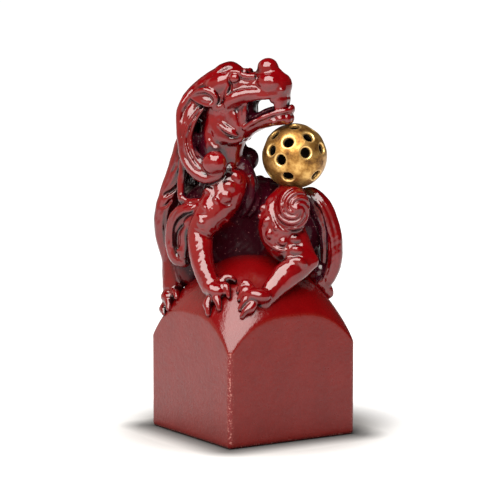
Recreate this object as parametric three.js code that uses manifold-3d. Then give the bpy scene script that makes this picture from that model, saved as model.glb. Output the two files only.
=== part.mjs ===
// Seal stamp of red glazed ceramic: a square block with a domed top, and on it a crouching beast
// that looks back over its shoulder and rests its chin on a pierced gilt ball.
// Millimetres, +Z up. The origin is the middle of the sealing face, and the block's sides face X and Y.
import * as THREE from "three";
import { mergeVertices } from "three/addons/utils/BufferGeometryUtils.js";
import Module from "manifold-3d";

const wasm = await Module();
wasm.setup();

// Block
const block_width = 50;
const block_corner_height = 30.8;
const block_side_height = 42.7;
const crown_height = 60;
const block_edge_radius = 1.4;
const foot_chamfer = 0.9;
const dome_roundness = 3;

// Joints between the luted pieces, and how far the figure is turned to face the block's front corner
const seam_gap = 0.3;
const figure_turn = THREE.MathUtils.degToRad(-32.7);

// Pierced ball
const ball_diameter = 21.8;
const ball_wall = 1.9;
const ball_hole_diameter = 3.5;
const ball_pole = new THREE.Vector3(-0.607, -0.584, 0.539).normalize();

// Head
const head_turn = THREE.MathUtils.degToRad(20);
const eye_diameter = 3.4;
const fang_length = 3.4;
const ear_length = 11.5;
const ear_width = 5.6;

// Limbs, as half thicknesses
const thigh_radius = 8.2;
const upper_arm_radius = 6.4;
const forearm_radius = 4.1;
const shin_radius = 3.9;
const toe_radius = 1.55;

// Hair
const lock_thickness = 2.9;
const whorl_radius = 6.4;
const whorl_strands = 4;
const whorl_turns = 0.85;
const whorl_height = 4;
const whorl_ridge = 1.3;
const tail_half_width = 3.6;
const tail_half_thickness = 2.9;
const flute_depth = 0.13;
const spine_knobs = 6;
const spine_knob_radius = 2.3;

// Facets
const round_sides = 8;
const thin_sides = 6;
const flute_sides = 10;

const half_block = block_width / 2;
const up = new THREE.Vector3(0, 0, 1);

// Height of the domed top over a point of the block, from the heights at its crown, sides and corners
function dome_height(x, y) {
  const reach = Math.pow(Math.abs(x) ** dome_roundness + Math.abs(y) ** dome_roundness, 1 / dome_roundness);
  const corner_reach = Math.pow(2, 1 / dome_roundness);
  const side_drop = crown_height - block_side_height;
  const corner_drop = crown_height - block_corner_height;
  const fall = Math.log(corner_drop / side_drop) / Math.log(corner_reach);
  return crown_height - side_drop * (reach / half_block) ** fall;
}

// The figure's own frame: u to the right as the block's front corner faces the viewer, v away from the
// viewer, h above the crown of the dome
function at(u, v, h) {
  return new THREE.Vector3(u, v, 0).applyAxisAngle(up, figure_turn).setZ(crown_height + h);
}

function toward(u, v, h) {
  return new THREE.Vector3(u, v, h).applyAxisAngle(up, figure_turn).normalize();
}

// A point that stands a little way above the dome
function on_dome(u, v, lift) {
  const point = at(u, v, 0);
  return point.setZ(dome_height(point.x, point.y) + lift);
}

// The head's own frame: f forward to the nose, s to the side that faces the viewer, h above the crown
const head_u = -8;
const head_v = -1;
function on_head(f, s, h) {
  const u = head_u + f * Math.cos(head_turn) - s * Math.sin(head_turn);
  const v = head_v - f * Math.sin(head_turn) - s * Math.cos(head_turn);
  return at(u, v, h);
}

function toward_head(f, s, h) {
  return on_head(f, s, h).sub(on_head(0, 0, 0)).normalize();
}

function solid_of(geometry) {
  geometry.deleteAttribute("normal");
  geometry.deleteAttribute("uv");
  const merged = mergeVertices(geometry, 1e-4);
  const mesh = new wasm.Mesh({
    numProp: 3,
    vertProperties: new Float32Array(merged.attributes.position.array),
    triVerts: new Uint32Array(merged.index.array),
  });
  return new wasm.Manifold(mesh);
}

// A closed form swept along a smooth curve, with an oval section at each station.
// A station is [centre, half width, half thickness], and the thickness lies along the facing direction.
// A flute depth over 0 draws every other side of the section in, as grooves between strands of hair.
function swept(stations, facing, sides, steps, grow, flute_depth = 0) {
  const path = new THREE.CatmullRomCurve3(stations.map((station) => station[0]), false, "centripetal");
  const sizes = new THREE.CatmullRomCurve3(
    stations.map((station) => new THREE.Vector3(station[1], station[2], 0)), false, "centripetal");
  const rings = [];
  const count = (stations.length - 1) * steps;
  const cap_angles = [45];
  for (let i = 0; i <= count; i += 1) {
    const t = i / count;
    const size = sizes.getPoint(t);
    const centre = path.getPoint(t);
    const ring = { centre, along: path.getTangent(t), wide: size.x + grow, thick: size.y + grow };
    const end = i === 0 ? -1 : 1;
    const cap = cap_angles.map((degrees) => {
      const angle = THREE.MathUtils.degToRad(degrees);
      const reach = end * Math.min(ring.wide, ring.thick) * Math.sin(angle);
      return {
        centre: ring.centre.clone().addScaledVector(ring.along, reach),
        along: ring.along,
        wide: ring.wide * Math.cos(angle),
        thick: ring.thick * Math.cos(angle),
      };
    });
    if (i === 0) rings.push(...cap.reverse());
    rings.push(ring);
    if (i === count) rings.push(...cap);
  }
  const first = rings[cap_angles.length];
  const last = rings[rings.length - 1 - cap_angles.length];
  const vertices = [];
  rings.forEach((ring) => {
    const normal = facing.clone().addScaledVector(ring.along, -facing.dot(ring.along)).normalize();
    const side = new THREE.Vector3().crossVectors(normal, ring.along);
    for (let k = 0; k < sides; k += 1) {
      const turn = (2 * Math.PI * k) / sides;
      const reach = k % 2 ? 1 - flute_depth : 1;
      const point = ring.centre.clone();
      point.addScaledVector(side, reach * ring.wide * Math.cos(turn));
      point.addScaledVector(normal, reach * ring.thick * Math.sin(turn));
      vertices.push(point.x, point.y, point.z);
    }
  });
  const tip = (ring, end) => {
    const reach = end * Math.min(ring.wide, ring.thick);
    return ring.centre.clone().addScaledVector(ring.along, reach);
  };
  const start_tip = vertices.length / 3;
  vertices.push(...tip(first, -1).toArray());
  vertices.push(...tip(last, 1).toArray());
  const faces = [];
  for (let r = 0; r < rings.length - 1; r += 1) {
    for (let k = 0; k < sides; k += 1) {
      const next = (k + 1) % sides;
      const a = r * sides + k;
      const b = r * sides + next;
      faces.push(a, b, b + sides, a, b + sides, a + sides);
    }
  }
  const end_ring = (rings.length - 1) * sides;
  for (let k = 0; k < sides; k += 1) {
    const next = (k + 1) % sides;
    faces.push(start_tip, next, k);
    faces.push(start_tip + 1, end_ring + k, end_ring + next);
  }
  const geometry = new THREE.BufferGeometry();
  geometry.setAttribute("position", new THREE.Float32BufferAttribute(vertices, 3));
  geometry.setIndex(faces);
  return solid_of(geometry);
}

function limb(...stations) {
  return (grow) => swept(stations, toward(0, -1, 0), round_sides, 2, grow);
}

function facing_limb(facing, ...stations) {
  return (grow) => swept(stations, facing, round_sides, 2, grow);
}

function strand(...stations) {
  return (grow) => swept(stations, toward(0, -1, 0), thin_sides, 2, grow);
}

function bone(...stations) {
  return (grow) => swept(stations, toward(0, -1, 0), round_sides, 1, grow);
}

function fluted_lock(...stations) {
  return (grow) => swept(stations, toward(0, -1, 0), flute_sides, 2, grow, flute_depth);
}

// An egg-shaped form: along its first direction it is as long as length, and across it width and thickness
function egg(centre, along, facing, length, width, thickness) {
  return (grow) => {
    const geometry = new THREE.SphereGeometry(1, round_sides + 1, round_sides - 3);
    const normal = facing.clone().addScaledVector(along, -facing.dot(along)).normalize();
    const side = new THREE.Vector3().crossVectors(along, normal);
    const frame = new THREE.Matrix4().makeBasis(
      side.multiplyScalar(width + grow),
      along.clone().multiplyScalar(length + grow),
      normal.multiplyScalar(thickness + grow));
    frame.setPosition(centre);
    geometry.applyMatrix4(frame);
    return solid_of(geometry);
  };
}

function all_of(...forms) {
  return (grow) => forms.map((form) => form(grow)).reduce((whole, form) => whole.add(form));
}

// Block: a square pillar with rounded edges and a chamfered foot, cut off by the dome
function block_pillar(grow) {
  const half = half_block + grow;
  const radius = block_edge_radius + grow;
  const edge_steps = 4;
  const outline = new THREE.Shape();
  const corners = [[1, 1], [-1, 1], [-1, -1], [1, -1]];
  corners.forEach(([x, y], quarter) => {
    const start = (quarter * Math.PI) / 2;
    outline.absarc(x * (half - radius), y * (half - radius), radius, start, start + Math.PI / 2);
  });
  const geometry = new THREE.ExtrudeGeometry(outline, {
    depth: crown_height + grow - foot_chamfer,
    curveSegments: edge_steps,
    bevelEnabled: true,
    bevelThickness: foot_chamfer,
    bevelSize: foot_chamfer,
    bevelOffset: -foot_chamfer,
    bevelSegments: 1,
  });
  geometry.translate(0, 0, foot_chamfer);
  return solid_of(geometry);
}

function block_dome(grow) {
  const cells = 16;
  const reach = half_block + 2;
  const floor = -1;
  const vertices = [];
  const faces = [];
  const row = cells + 1;
  for (const top of [true, false]) {
    for (let j = 0; j <= cells; j += 1) {
      for (let i = 0; i <= cells; i += 1) {
        const x = reach * ((2 * i) / cells - 1);
        const y = reach * ((2 * j) / cells - 1);
        vertices.push(x, y, top ? dome_height(x, y) + grow : floor);
      }
    }
  }
  const under = row * row;
  for (let j = 0; j < cells; j += 1) {
    for (let i = 0; i < cells; i += 1) {
      const a = j * row + i;
      faces.push(a, a + 1, a + row + 1, a, a + row + 1, a + row);
      const b = under + a;
      faces.push(b, b + row + 1, b + 1, b, b + row, b + row + 1);
    }
  }
  for (let i = 0; i < cells; i += 1) {
    const rim = [
      [i, i + 1],
      [cells * row + i + 1, cells * row + i],
      [(i + 1) * row, i * row],
      [i * row + cells, (i + 1) * row + cells],
    ];
    rim.forEach(([a, b]) => faces.push(a, under + a, under + b, a, under + b, b));
  }
  const geometry = new THREE.BufferGeometry();
  geometry.setAttribute("position", new THREE.Float32BufferAttribute(vertices, 3));
  geometry.setIndex(faces);
  return solid_of(geometry);
}

function block(grow) {
  return block_pillar(grow).intersect(block_dome(grow));
}

// Ball: a shell pierced by rings of round holes about its pole
const ball_radius = ball_diameter / 2;
const ball_centre = at(14.1, -4, 33.9);

// Rings of holes about the ball's pole: degrees from the pole, and degrees round to each of its holes
const ball_hole_rings = [
  [3, [257]],
  [38, [25, 84, 150, 203, 248, 331]],
  [69, [5, 55, 110, 168, 268]],
  [92, [28, 88, 143, 223, 319]],
  [121, [20, 92, 160, 270]],
  [152, [0, 120, 240]],
];

function ball_hole_directions() {
  const level = new THREE.Vector3().crossVectors(up, ball_pole).normalize();
  const rise = new THREE.Vector3().crossVectors(ball_pole, level);
  const directions = [];
  ball_hole_rings.forEach(([polar_degrees, turns]) => {
    const polar = THREE.MathUtils.degToRad(polar_degrees);
    turns.forEach((degrees) => {
      const turn = THREE.MathUtils.degToRad(degrees);
      const direction = ball_pole.clone().multiplyScalar(Math.cos(polar));
      direction.addScaledVector(level, Math.sin(polar) * Math.cos(turn));
      direction.addScaledVector(rise, Math.sin(polar) * Math.sin(turn));
      directions.push(direction);
    });
  });
  return directions;
}

function ball_form(grow) {
  const geometry = new THREE.SphereGeometry(ball_radius + grow, 2 * round_sides, round_sides + 3);
  geometry.rotateX(Math.PI / 2);
  geometry.translate(ball_centre.x, ball_centre.y, ball_centre.z);
  return solid_of(geometry);
}

function pierced_ball() {
  const hole_sides = 7;
  const drill_radius = ball_hole_diameter / 2 / Math.cos(Math.PI / hole_sides);
  const hollow = new THREE.SphereGeometry(ball_radius - ball_wall, round_sides + 2, thin_sides);
  hollow.rotateX(Math.PI / 2);
  hollow.translate(ball_centre.x, ball_centre.y, ball_centre.z);
  let shell = ball_form(0).subtract(solid_of(hollow));
  ball_hole_directions().forEach((direction) => {
    const drill = new THREE.CylinderGeometry(drill_radius, drill_radius, 3 * ball_wall, hole_sides);
    const turned = new THREE.Quaternion().setFromUnitVectors(new THREE.Vector3(0, 1, 0), direction);
    drill.applyQuaternion(turned);
    const middle = ball_centre.clone().addScaledVector(direction, ball_radius - ball_wall / 2);
    drill.translate(middle.x, middle.y, middle.z);
    shell = shell.subtract(solid_of(drill));
  });
  return shell;
}

// Body
const away = toward(0, 1, 0);
const torso = all_of(
  limb(
    [at(-16.5, 3, 8.5), 11.5, 7.5],
    [at(-11, 2.5, 11), 15, 9],
    [at(-2, 4, 10.2), 14.3, 9.8],
    [at(6, 5, 9.6), 13.4, 9.6],
    [at(13, 4.5, 9.4), 11.4, 9.5],
    [at(18, 5, 8), 8, 7.4]),
  bone(
    [at(-3.6, -1, 29.5), 3.6, 3.6],
    [at(-2.4, -2.2, 24), 4.4, 4.2],
    [at(-2.6, -3, 17), 4.4, 4],
    [at(-5, -3.4, 10), 4, 3.6]),
  limb(
    [at(-8, 3.5, 23), 5, 5],
    [at(-1, 6, 20.4), 4.8, 4.6],
    [at(7, 7, 18.4), 4.8, 4.6]),
  egg(at(19.5, 7.5, 1), up, away, 9.5, 6, 6),
  egg(at(-20.5, 3.5, -2.5), up, away, 9.5, 5.6, 5));

const spine_path = new THREE.CatmullRomCurve3([
  at(-6.5, 9.2, 23.8),
  at(-1.5, 9.4, 24.4),
  at(4, 9.2, 23.4),
  at(11, 8.7, 21),
  at(17, 6.8, 18.2),
]);
function spine(grow) {
  let ridge = null;
  for (let i = 0; i < spine_knobs; i += 1) {
    const t = i / (spine_knobs - 1);
    const centre = spine_path.getPoint(t);
    const reach = spine_path.getTangent(t).multiplyScalar(spine_knob_radius * 0.5);
    const knob = swept([
      [centre.clone().sub(reach), spine_knob_radius, spine_knob_radius],
      [centre.clone().add(reach), spine_knob_radius, spine_knob_radius],
    ], up, thin_sides - 1, 1, grow);
    ridge = ridge ? ridge.add(knob) : knob;
  }
  return ridge;
}

const neck = limb(
  [at(-9.5, 1, 20), 8, 8],
  [at(-11.5, 0.5, 30), 6.8, 7.4],
  [at(-11, 0, 38), 7.4, 7.6],
  [at(-9.5, -0.5, 46), 7.5, 7.2]);

// Head
const side_of_head = toward_head(0, 1, 0);
const skull = all_of(
  facing_limb(side_of_head,
    [on_head(-8, 0, 50.5), 7.4, 6],
    [on_head(-2, 0, 55), 8.2, 6.9],
    [on_head(3, 0, 56.6), 6.6, 6.5],
    [on_head(8, 0, 57.2), 4.7, 5.4],
    [on_head(13, 0, 57.8), 4, 4.7],
    [on_head(17.5, 0, 58), 4.2, 4.2]),
  egg(on_head(14, 0, 64), toward_head(1, 0, 0), side_of_head, 3.3, 2.9, 3.2),
  egg(on_head(15.6, 2.5, 60), toward_head(1, 0, 0), side_of_head, 4.3, 3.5, 3.5),
  egg(on_head(15.6, -2.5, 60), toward_head(1, 0, 0), side_of_head, 4.3, 3.5, 3.5),
  egg(on_head(18.2, 0, 57.2), up, side_of_head, 4.2, 3.2, 4.3),
  egg(on_head(0.4, 0, 61.4), toward_head(1, 0, 0), side_of_head, 4.6, 3.7, 4.6));

const jaw = facing_limb(side_of_head,
  [on_head(0, 0, 42), 4.8, 5.5],
  [on_head(4.5, 0, 41.8), 3.4, 5.8],
  [on_head(9, 0, 43.4), 2.3, 5.3],
  [on_head(14, 0, 45.5), 2.3, 4.9],
  [on_head(19.6, 0, 47), 2.5, 4.2]);

function cheek(side) {
  return all_of(
    egg(on_head(2.8, side * 5.2, 46.4), toward_head(-0.5, 0, 1), side_of_head, 6, 3.6, 2.6),
    egg(on_head(-1.2, side * 5, 49), toward_head(1, 0, 0), side_of_head, 4.6, 3, 2.6));
}

const tongue = (grow) => swept([
  [on_head(6, 0, 46.5), 1.4, 3],
  [on_head(11, 0, 49), 1.2, 2.8],
  [on_head(16, 0, 50), 1, 2.2],
], side_of_head, round_sides - 1, 1, grow);

// The upper front teeth: two fangs and two lesser ones, on one strip of gum
function teeth(grow) {
  const gum_height = 51.6;
  const gum = swept([
    [on_head(16.6, 3.6, gum_height), 0.9, 1],
    [on_head(19, 1.6, gum_height), 0.9, 1],
    [on_head(19, -1.6, gum_height), 0.9, 1],
    [on_head(16.6, -3.6, gum_height), 0.9, 1],
  ], toward_head(1, 0, 0.02), thin_sides - 1, 1, grow);
  const places = [[17.2, 3.2, 1], [17.2, -3.2, 1], [19.2, 1.2, 0.8], [19.2, -1.2, 0.8]];
  return places.map(([f, s, share]) => swept([
    [on_head(f, s, gum_height), 1.4, 1.3],
    [on_head(f + 0.2, s, gum_height - fang_length * share), 0.75, 0.75],
  ], side_of_head, thin_sides - 1, 1, grow)).reduce((row, tooth) => row.add(tooth), gum);
}

function eye(side) {
  const radius = eye_diameter / 2;
  return egg(on_head(4.4, side * 6.1, 59.8), up, side_of_head, radius, radius, radius * 0.9);
}

function ear(side) {
  const middle = on_head(-5.6, side * 7.3, 53.2);
  const leaf = egg(middle, toward_head(-1, 0, 0.12), side_of_head, ear_length / 2, ear_width / 2, 2);
  const hollow = egg(middle.clone().addScaledVector(side_of_head, side * 2),
    toward_head(-1, 0, 0.12), side_of_head, ear_length / 2 - 1.5, ear_width / 2 - 1, 2.2);
  return (grow) => (grow > 0 ? leaf(grow) : leaf(0).subtract(hollow(0)));
}

// Hair
const lock_half = lock_thickness / 2;
const crest = facing_limb(side_of_head,
  [on_head(3, 0, 62.3), 1.3, 2],
  [on_head(0.5, 0, 63.3), 2, 3],
  [on_head(-4.3, 0, 58.8), 3, 4],
  [on_head(-9.6, 0, 55.2), 3, 4.6],
  [on_head(-13.6, 0, 50.3), 3, 4.6],
  [on_head(-15, 0, 45), 2.6, 4]);

const right_cheek_lock = all_of(
  facing_limb(side_of_head,
    [on_head(-9, 4.5, 57), 2, 1.6],
    [on_head(-12.6, 6, 51.5), 3.2, lock_half * 1.5],
    [on_head(-13.1, 7, 44.5), 3.5, lock_half * 1.6],
    [on_head(-12, 8.2, 37.5), 3.2, lock_half * 1.7],
    [on_head(-9, 9.6, 31.5), 3.1, lock_half * 1.8],
    [on_head(-4.4, 10.6, 28.8), 3, lock_half * 1.8]),
  egg(on_head(-1.4, 10.8, 31.6), up, side_of_head, 4.2, 4.2, 3.6));

const left_cheek_lock = all_of(
  facing_limb(side_of_head,
    [on_head(-5, -6.4, 51), 2.6, 2.2],
    [on_head(-3, -8.2, 45), 3.6, 2.6],
    [on_head(-2, -9.2, 39), 4.2, 2.8],
    [on_head(-0.6, -9.6, 33), 4.6, 2.8],
    [on_head(1.6, -9.4, 28), 4, 2.8],
    [on_head(4, -8.8, 25), 2.6, 2.2]),
  egg(on_head(2.9, -10, 31.9), up, side_of_head, 4.2, 4.2, 3.6));

const mane_outer_lock = all_of(
  fluted_lock(
    [at(-20.5, 3, 44), 2.4, 2.4],
    [at(-21.6, 3.4, 37.4), 3.8, 2.8],
    [at(-23, 3.6, 31.4), 4.2, 3],
    [at(-25.6, 4.2, 26.2), 4, 2.8],
    [at(-28.4, 5, 22), 2.8, 2.4],
    [at(-30.6, 5.6, 19.6), 1.2, 1.4]),
  fluted_lock(
    [at(-24, 5, 28), 2.4, 2],
    [at(-27.4, 5.6, 21), 3.6, 2.8],
    [at(-29.4, 6.4, 14), 4, 3],
    [at(-29.9, 6.8, 7.6), 3.6, 3],
    [at(-29.2, 7, 2), 3.1, 2.6],
    [at(-28.6, 7, -2.4), 2.2, 2.2]));

const mane_side_lock = strand(
  [at(-20, -1.5, 40), 2.2, 2],
  [at(-22, -2.6, 34), 2.2, 1.8],
  [at(-23.4, -3.2, 28), 1.6, 1.6],
  [at(-24, -3.8, 22.6), 1.4, 1.4],
  [at(-23.4, -5.2, 19.4), 1.4, 1.4],
  [at(-21, -7, 18.9), 1.2, 1.2],
  [at(-17.8, -8.6, 19), 1.2, 1.2]);

const mane_back_lock = fluted_lock(
  [at(-16, 5, 51), 3, 2.4],
  [at(-18, 8, 43), 4.4, 3],
  [at(-18.5, 10, 34), 4.8, 3],
  [at(-19.5, 11.5, 25), 4.2, 2.8],
  [at(-21.5, 12, 17), 2.4, 2]);

const mane_far_lock = fluted_lock(
  [at(-8.5, 6.5, 51), 3, 2.4],
  [at(-9, 9, 43), 4.2, 2.8],
  [at(-9.5, 10.5, 34.5), 4.4, 2.8],
  [at(-10.5, 11.5, 27), 3.6, 2.4],
  [at(-12, 12.5, 20.5), 2, 1.8]);

// Forelegs
const left_foreleg = all_of(
  limb(
    [at(-6.6, -6.4, 25), upper_arm_radius - 1.2, upper_arm_radius - 1.6],
    [at(-8.8, -7.2, 21.6), upper_arm_radius, upper_arm_radius - 0.6],
    [at(-11.2, -8.2, 18), upper_arm_radius, upper_arm_radius - 0.8],
    [at(-14.8, -10, 13.4), upper_arm_radius - 1.2, upper_arm_radius - 1.4],
    [at(-17.3, -11.4, 7.5), forearm_radius + 0.4, forearm_radius + 0.3],
    [at(-16.7, -13.6, -0.2), forearm_radius, forearm_radius],
    [on_dome(-13.6, -17.6, 3.6), forearm_radius - 0.5, forearm_radius - 0.9]),
  egg(at(-12.6, -6.4, 22.4), toward(0.45, 0, 0.9), away, 5.4, 4, 4.4));

const right_foreleg = limb(
  [at(-18.5, 8, 17), upper_arm_radius, upper_arm_radius],
  [at(-23, 8, 11.5), upper_arm_radius - 0.2, upper_arm_radius - 1],
  [at(-25.6, 7.5, 5), forearm_radius + 1, forearm_radius + 0.4],
  [at(-26.6, 6.8, -3), forearm_radius + 0.2, forearm_radius],
  [on_dome(-27, 5, 5), forearm_radius - 0.4, forearm_radius - 0.6]);

// Toes run out over the dome from the palm, each down to its claw
function paw(palm, toes) {
  return (grow) => {
    const foot = egg(palm.centre, palm.along, up, palm.length, palm.width, palm.height)(grow);
    return toes.reduce((whole, [knuckle, claw]) => {
      const middle = knuckle.clone().lerp(claw, 0.45).add(new THREE.Vector3(0, 0, toe_radius * 0.35));
      const toe = swept([
        [palm.centre.clone().lerp(knuckle, 0.4), toe_radius, toe_radius],
        [knuckle, toe_radius * 1.05, toe_radius * 1.05],
        [middle, toe_radius * 0.95, toe_radius * 0.9],
        [claw, toe_radius * 0.45, toe_radius * 0.45],
      ], up, thin_sides - 1, 1, grow);
      return whole.add(toe);
    }, foot);
  };
}

const left_forepaw = paw(
  {
    centre: on_dome(-12.2, -19.4, 3.4),
    along: toward(0.55, -0.75, -0.35),
    length: 4.4,
    width: 3.8,
    height: 2.7,
  },
  [
    [on_dome(-8.6, -18, 3), on_dome(-5.8, -18.8, 1.6)],
    [on_dome(-8.8, -20.8, 2.9), on_dome(-7.4, -23.2, 1.1)],
    [on_dome(-11.7, -22.2, 2.7), on_dome(-10.4, -25.2, 1)],
    [on_dome(-14.8, -21, 2.3), on_dome(-14.2, -24, 1)],
  ]);

const left_hindpaw = paw(
  { centre: on_dome(1.6, -24.2, 3), along: toward(-0.9, 0.1, 0.1), length: 4.6, width: 3.4, height: 2.6 },
  [
    [on_dome(-2.4, -21.4, 2.7), on_dome(-4.6, -22, 1.1)],
    [on_dome(-2.2, -23.2, 2.7), on_dome(-4.4, -24.2, 1.2)],
    [on_dome(-1.6, -25, 2.4), on_dome(-4, -26.4, 1.1)],
    [on_dome(-0.8, -26.8, 1.8), on_dome(-3.4, -28, 0.9)],
  ]);

const right_forepaw = paw(
  { centre: on_dome(-28, 4.2, 3), along: toward(-0.3, -0.9, 0), length: 4, width: 3.1, height: 2.5 },
  [
    [on_dome(-30.2, 3, 1.9), on_dome(-30, 0.6, 0.8)],
    [on_dome(-28.3, 1.4, 2), on_dome(-28.4, -1.4, 0.8)],
    [on_dome(-26, 1.4, 2.1), on_dome(-25.6, -1.6, 0.9)],
  ]);

// The curl of hair behind the near elbow
const left_elbow_curl = all_of(
  limb(
    [at(-17.8, -9.4, 17), 1.6, 1.7],
    [at(-22.2, -7.4, 16.6), 2, 1.9],
    [at(-25.5, -4.6, 13.4), 2.2, 2.2],
    [at(-26.8, -3.2, 8.5), 2.2, 2.3],
    [at(-26.5, -3, 3), 2.2, 2.3],
    [at(-25, -3.8, -0.8), 2.3, 2.2],
    [at(-22.8, -5.2, -1.6), 2, 2]),
  strand(
    [at(-20.8, -7.8, 12.2), 1.8, 1.8],
    [at(-22.2, -6.4, 7.8), 1.9, 1.9],
    [at(-22.4, -6.2, 3.4), 1.9, 1.9],
    [at(-22.8, -5.8, 0.8), 2, 2]),
  bone(
    [at(-20.4, -6.8, 14.8), 2.2, 1.6],
    [at(-22.6, -4.8, 11.5), 3, 1.7],
    [at(-24.2, -3.4, 7), 3.2, 1.7],
    [at(-24, -3.4, 1), 3, 1.7]));

// Hind legs
const left_hock = at(19.8, -13.4, -0.6);
const left_hindleg = all_of(
  limb(
    [at(12.8, -5.5, 20), thigh_radius - 2.6, thigh_radius - 3],
    [at(10.4, -7.5, 14.6), thigh_radius - 0.2, thigh_radius - 2.2],
    [at(9.3, -9, 9.8), thigh_radius - 0.8, thigh_radius - 2.3],
    [at(10.3, -10.2, 5), thigh_radius - 2.3, thigh_radius - 3.4],
    [at(12, -11.2, 2.2), thigh_radius - 4, thigh_radius - 4.2]),
  bone(
    [at(10.5, -11.4, 3), shin_radius, shin_radius - 0.1],
    [at(15.5, -12.9, 1.4), shin_radius - 0.5, shin_radius - 0.7],
    [left_hock, shin_radius - 1.7, shin_radius - 1.8]),
  bone(
    [left_hock, shin_radius - 1.6, shin_radius - 1.7],
    [at(15.6, -15, -2.2), shin_radius + 0.2, shin_radius - 0.9],
    [at(11.6, -16.8, -4.4), shin_radius + 0.7, shin_radius - 0.7],
    [on_dome(6.4, -20, 1.5), shin_radius - 0.3, shin_radius - 1],
    [on_dome(3.4, -22.6, -0.7), shin_radius - 1, shin_radius - 1.3]));

const right_hock = at(16.5, 17, -0.5);
const right_ankle = on_dome(6.5, 23, 4);
const right_hindleg = all_of(
  limb(
    [at(12, 11, 17), thigh_radius * 0.7, thigh_radius * 0.7],
    [at(10, 13.5, 11.5), thigh_radius, thigh_radius * 0.8],
    [at(8, 15, 5), thigh_radius * 0.75, thigh_radius * 0.65]),
  bone(
    [at(8, 16, 4.5), shin_radius, shin_radius],
    [right_hock, shin_radius - 1, shin_radius - 1]),
  bone(
    [right_hock, shin_radius - 0.9, shin_radius - 0.9],
    [at(12, 20, -4.5), shin_radius, shin_radius - 0.7],
    [right_ankle, shin_radius - 0.8, shin_radius - 1.1]));

const right_hindpaw = paw(
  { centre: on_dome(3.4, 24, 3.1), along: toward(-0.95, 0.2, 0), length: 4.4, width: 3.6, height: 2.6 },
  [
    [on_dome(0.4, 22.4, 2.4), on_dome(-2.2, 22.6, 0.9)],
    [on_dome(0.2, 24.4, 2.3), on_dome(-2.4, 24.9, 0.9)],
    [on_dome(0.6, 26.4, 2), on_dome(-1.8, 27.2, 0.8)],
  ]);

// A whorl of hair on a haunch: a low boss whose strands are ridges that spiral in to its middle
function whorl(centre, axis) {
  const level = new THREE.Vector3().crossVectors(up, axis).normalize();
  const rise = new THREE.Vector3().crossVectors(axis, level);
  const wide = 0.92;
  const tall = 1.15;
  const rings = 7;
  const spokes = 6 * whorl_strands;
  return (grow) => {
    const vertices = [];
    const faces = [];
    const add = (reach, turn, depth) => {
      const point = centre.clone();
      point.addScaledVector(level, (whorl_radius * wide + grow) * reach * Math.cos(turn));
      point.addScaledVector(rise, (whorl_radius * tall + grow) * reach * Math.sin(turn));
      point.addScaledVector(axis, depth);
      vertices.push(point.x, point.y, point.z);
    };
    add(0, 0, whorl_height + whorl_ridge + grow);
    for (let r = 1; r <= rings; r += 1) {
      const reach = r / rings;
      for (let k = 0; k < spokes; k += 1) {
        const turn = (2 * Math.PI * k) / spokes;
        const ridge = 0.5 + 0.5 * Math.cos(whorl_strands * (turn + 2 * Math.PI * whorl_turns * reach));
        const boss = whorl_height * Math.sqrt(1 - reach ** 2);
        const depth = boss + whorl_ridge * ridge * Math.sin(Math.PI * reach);
        add(reach, turn, depth + grow * (1 - reach ** 4));
      }
    }
    add(0, 0, -whorl_height - grow);
    const bottom = vertices.length / 3 - 1;
    for (let k = 0; k < spokes; k += 1) {
      const next = (k + 1) % spokes;
      faces.push(0, 1 + k, 1 + next);
      for (let r = 0; r < rings - 1; r += 1) {
        const a = 1 + r * spokes;
        faces.push(a + k, a + spokes + k, a + spokes + next, a + k, a + spokes + next, a + next);
      }
      const rim = 1 + (rings - 1) * spokes;
      faces.push(rim + k, bottom, rim + next);
    }
    const geometry = new THREE.BufferGeometry();
    geometry.setAttribute("position", new THREE.Float32BufferAttribute(vertices, 3));
    geometry.setIndex(faces);
    return solid_of(geometry);
  };
}
const left_haunch_whorl = whorl(at(13.4, -12.6, 16.8), toward(0.1, -1, 0.12));
const right_haunch_whorl = whorl(at(12, 19, 12.5), toward(0.1, 1, 0.12));

// Tail: a fluted brush of hair, swept over the rump and down to the dome
const tail = all_of(
  fluted_lock(
    [at(15.6, 0.6, 20), tail_half_width - 1.2, tail_half_thickness - 0.6],
    [at(19.6, 1.2, 20.4), tail_half_width - 1, tail_half_thickness - 0.6],
    [at(23, -0.4, 16.8), tail_half_width - 0.3, tail_half_thickness - 0.1],
    [at(25.6, -1.2, 11.4), tail_half_width, tail_half_thickness],
    [at(27, -1.6, 5.2), tail_half_width, tail_half_thickness],
    [on_dome(27, -1.8, 14.1), tail_half_width - 0.2, tail_half_thickness],
    [on_dome(25.8, -1.9, 8.1), tail_half_width - 0.7, tail_half_thickness - 0.2],
    [on_dome(24.2, -2, 2.6), tail_half_width - 1.6, tail_half_thickness - 1]),
  egg(on_dome(22.8, -0.4, 5.8), up, away, 3.2, 3, 2.8),
  egg(on_dome(21.2, 0.9, 3), up, away, 3, 2.8, 2.8),
  egg(on_dome(23.2, -1.2, 2.6), up, away, 3, 2.8, 2.6));

const tail_tip = strand(
  [on_dome(23.2, -1.6, 2.2), 1.5, 1.5],
  [on_dome(26, -1.4, 4.4), 1.5, 1.5],
  [on_dome(26.6, -1.2, 2.8), 1.5, 1.5],
  [on_dome(25.8, -1.4, 0.6), 1.2, 1.2]);

// Materials
const red_glaze = { color: 0x7a0d12, roughness: 0.12, metalness: 0 };
const rubbed_red = { color: 0x8c2a22, roughness: 0.55, metalness: 0 };
const dark_red_glaze = { color: 0x3c0508, roughness: 0.15, metalness: 0 };
const gilding = { color: 0xb07f2a, roughness: 0.38, metalness: 0.9 };

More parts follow.
